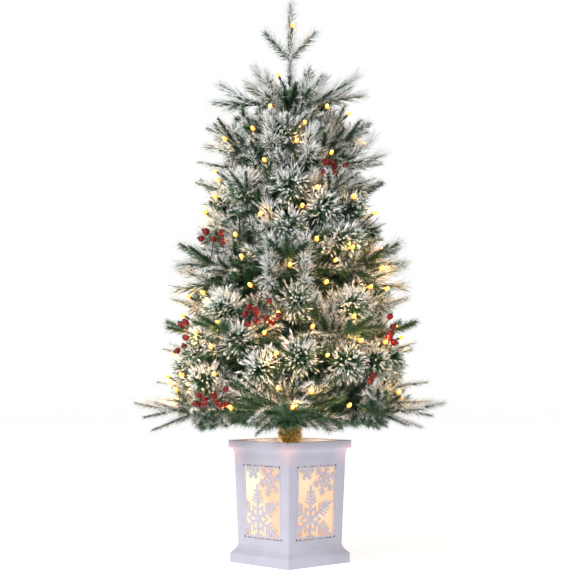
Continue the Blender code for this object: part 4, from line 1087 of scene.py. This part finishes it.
def hangLights(tag, spots):
    # bulbs at their spots, each on its own pair of leads back to the stem
    body = "tree" if tag == "crown" else "branch_" + tag
    bulbs, cables = [], []
    for at, way, stem in spots:
        foot = at - way * bulbLook["socketLength"]
        bulbs.append(bulbMesh(at, way))
        wide = bulbLook["socketRadius"]
        cables.append(tube([foot, foot + way * 0.003, at + way * 0.0012], [0.0018, wide, wide * 1.05], 10))
        across = way.orthogonal().normalized() * bulbLook["leadGap"]
        for side in (-1, 1):
            bend = foot - way * 0.012 + across * side * 2
            route = [foot + across * side, bend, (bend + stem) / 2, stem]
            cables.append(tube(route, bulbLook["leadRadius"], 5))
        low, high = bulbLook["lampWatts"]  # the lower strings are the brighter ones
        watts = low + (high - low) * min(max((at.z - 0.35) / 0.5, 0), 1)
        spot = at + way.orthogonal().normalized() * bulbLook["lampBeside"]
        lampAt("lamp_" + tag, spot, body, watts, bulbLook["light"], bulbLook["lampSoft"])
    if tag != "crown":
        pivot, out, tip = branches[tag]
        along = (tip - pivot).normalized()
        turns = [(0.03 + 0.87 * k / 29, math.tau * 3.5 * k / 29) for k in range(30)]  # along, and round it
        right = Vector((out.y, -out.x, 0))
        up = right.cross(along).normalized()
        up = -up if up.z < 0 else up
        route = [stemPoint(pivot, tip, s) + (up * math.cos(a) + right * math.sin(a)) * bulbLook["mainOut"]
                 for s, a in turns]
        cables.append(tube(route, bulbLook["mainRadius"], 6))
    meshObject("bulbs_" + tag, joinWithUv("bulbs_" + tag, bulbs), bulbGlass, body, True)
    meshObject("lightWire_" + tag, merged(cables), wirePvc, body, True)


# where bulbs show on the best side: across and height; the other sides take a thinner, shifted share
bulbSpots = (
    (0.006, 1.155), (-0.021, 1.035), (-0.037, 0.962), (0.080, 0.965), (-0.072, 0.916), (0.035, 0.927),
    (0.016, 0.886), (-0.047, 0.847), (0.089, 0.864), (-0.152, 0.777), (-0.146, 0.813), (0.059, 0.788),
    (0.135, 0.773), (0.029, 0.748), (-0.057, 0.730), (-0.107, 0.690), (0.059, 0.678), (0.130, 0.663),
    (-0.092, 0.644), (0.004, 0.624), (-0.073, 0.584), (0.096, 0.636), (0.077, 0.590), (0.167, 0.583),
    (-0.174, 0.573), (-0.141, 0.508), (-0.016, 0.527), (-0.046, 0.486), (0.050, 0.498), (0.132, 0.520),
    (-0.155, 0.459), (-0.020, 0.446), (0.080, 0.442), (0.146, 0.471), (-0.146, 0.404), (-0.016, 0.376),
    (-0.110, 0.336), (0.010, 0.337), (0.122, 0.340), (0.225, 0.366), (-0.232, 0.369), (0.048, 0.368),
)
bulbsProud = 0.012  # metres outside the greenery
hung = {tag: [] for tag in bunches}
rng = random.Random(21)
for side in range(4):
    for k, (across, height) in enumerate(bulbSpots):
        if side and (height > 1.0 or (k + side) % 3 == 0 or abs(across) > 0.7 * coneReach(height)):
            continue
        if side:
            across, height = -across + rng.uniform(-0.02, 0.02), height + rng.uniform(-0.02, 0.02)
        at = onTree(across, height, side, bulbsProud)
        aside = math.asin(max(-1, min(1, across / (coneReach(height) + bulbsProud))))
        stray = Vector((rng.uniform(-0.3, 0.3), rng.uniform(-0.3, 0.3), rng.uniform(-0.1, 0.3)))
        way = (facing(side, math.degrees(aside), 25) + stray).normalized()
        tag, stem = nearestStem(at)
        hung[tag].append((at, way, stem))
for tag, spots in hung.items():
    if spots:
        hangLights(tag, spots)
print("bulbs hung:", sum(len(spots) for spots in hung.values()))

# warm light that comes up through the deck
deckLamp = {"light": "#FFD9AE", "watts": 0.09, "soft": 0.012, "out": 0.05, "up": 0.012}
for k in range(4):
    turn = math.radians(90 * k)
    at = compass(turn) * deckLamp["out"] + upBy(deckTop + deckLamp["up"])
    lampAt("deckLamp", at, "pot", deckLamp["watts"], deckLamp["light"], deckLamp["soft"])
print("lights hung")

# wax-dipped foam berries, lacquered: deep red with small sharp lights, and a dark dried calyx
berryLook = {
    "skin": "#780609", "deep": "#400306", "radius": 0.0072, "calyx": "#1E1210", "stalk": "#3A2A1C",
    "specular": 0.35, "coat": 0.18, "coatRough": 0.12, "apart": 2.1, "proud": 0.020,
    "footBack": 0.030, "footDown": 0.010, "stem": (0.0012, 0.0011, 0.0010), "twig": (0.0007, 0.0006, 0.0006),
    "calyxRadius": 0.0017, "point": (0.0008, 0.0006, 0.0002),
}

berrySkin, _, shader, _ = plainMaterial("waxFoamLacquered", 0.26, berryLook["deep"], berryLook["skin"], 5,
                                        detail=2.0, span=(0.2, 0.6), ior=1.45)
shader.inputs["Specular IOR Level"].default_value = berryLook["specular"]
shader.inputs["Coat Weight"].default_value = berryLook["coat"]
shader.inputs["Coat Roughness"].default_value = berryLook["coatRough"]

calyxBrown = plainMaterial("driedCalyx", 0.8, berryLook["calyx"], berryLook["stalk"], 1.5)[0]


def berryCluster(name, body, centre, count, spread, origin, node=None):
    rng = random.Random(name)
    outward = Vector((centre.x, centre.y, 0)).normalized()
    right = Vector((-outward.y, outward.x, 0))
    fruit, stalks = [], []
    foot = centre - outward * berryLook["footBack"] - upBy(berryLook["footDown"])
    stalks.append(tube([origin, origin.lerp(foot, 0.5) + upBy(0.008), foot], berryLook["stem"], 6))
    placed = []
    for _ in range(300):
        if len(placed) == count:
            break
        at = centre + right * rng.uniform(-1, 1) * spread[0]
        at += outward * rng.uniform(-0.5, 0.5) * min(spread) + upBy(rng.uniform(-1, 1) * spread[1])
        if all((at - other).length > berryLook["radius"] * berryLook["apart"] for other in placed):
            placed.append(at)
    for at in placed:
        way = (at - foot).normalized()
        radius = berryLook["radius"] * rng.uniform(0.88, 1.10)
        fruit.append(ball(at, radius, 8, 14, 1.04, way))
        # calyx: a dark button with five short points
        end = at + way * radius
        stalks.append(ball(end, berryLook["calyxRadius"], 4, 8, 0.5, way))
        side = way.orthogonal().normalized()
        for n in range(5):
            point = Matrix.Rotation(math.tau * n / 5, 3, way) @ side
            route = [end, end + point * 0.0018 + way * 0.0012, end + point * 0.0032 + way * 0.0030]
            stalks.append(tube(route, berryLook["point"], 5))
        bend = foot.lerp(at, 0.5) + upBy(0.006)
        stalks.append(tube([foot, bend, at - way * radius * 0.9], berryLook["twig"], 6))
    fruitPiece = meshObject("berries_" + name, merged(fruit), berrySkin, body, True)
    meshObject("berryStalks_" + name, merged(stalks), calyxBrown, body, True)
    if node:
        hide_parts(node)


# each pick: how many berries, how wide and tall it spreads, and where it shows, across and height
berryPlan = {
    "berry_pick_1": (9, 0.040, 0.018, -0.150, 0.360), "berry_pick_2": (5, 0.014, 0.036, 0.215, 0.490),
    "berry_pick_3": (5, 0.014, 0.036, -0.225, 0.488), "berry_pick_4": (10, 0.038, 0.026, -0.052, 0.530),
    "berry_pick_5": (6, 0.044, 0.016, -0.158, 0.692), "berry_pick_6": (8, 0.030, 0.014, 0.094, 0.832),
}
carriers = {name: body for body, names in frame["record"]["behaviour"]["bodies"].items() for name in names}
for name, (count, wide, tall, across, height) in berryPlan.items():
    low, high = (Vector(corner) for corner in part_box(name))
    centre = onTree(across, height, 0, berryLook["proud"])
    berryCluster(name[6:], carriers[name], centre, count, (wide, tall), (low + high) / 2, name)
pivot, _, tip = branches["1b"]
centre = onTree(0.177, 0.400, 0, 0.014)
berryCluster("low", "branch_1b", centre, 2, (0.016, 0.016), stemPoint(pivot, tip, 0.5))
print("berries wired on")
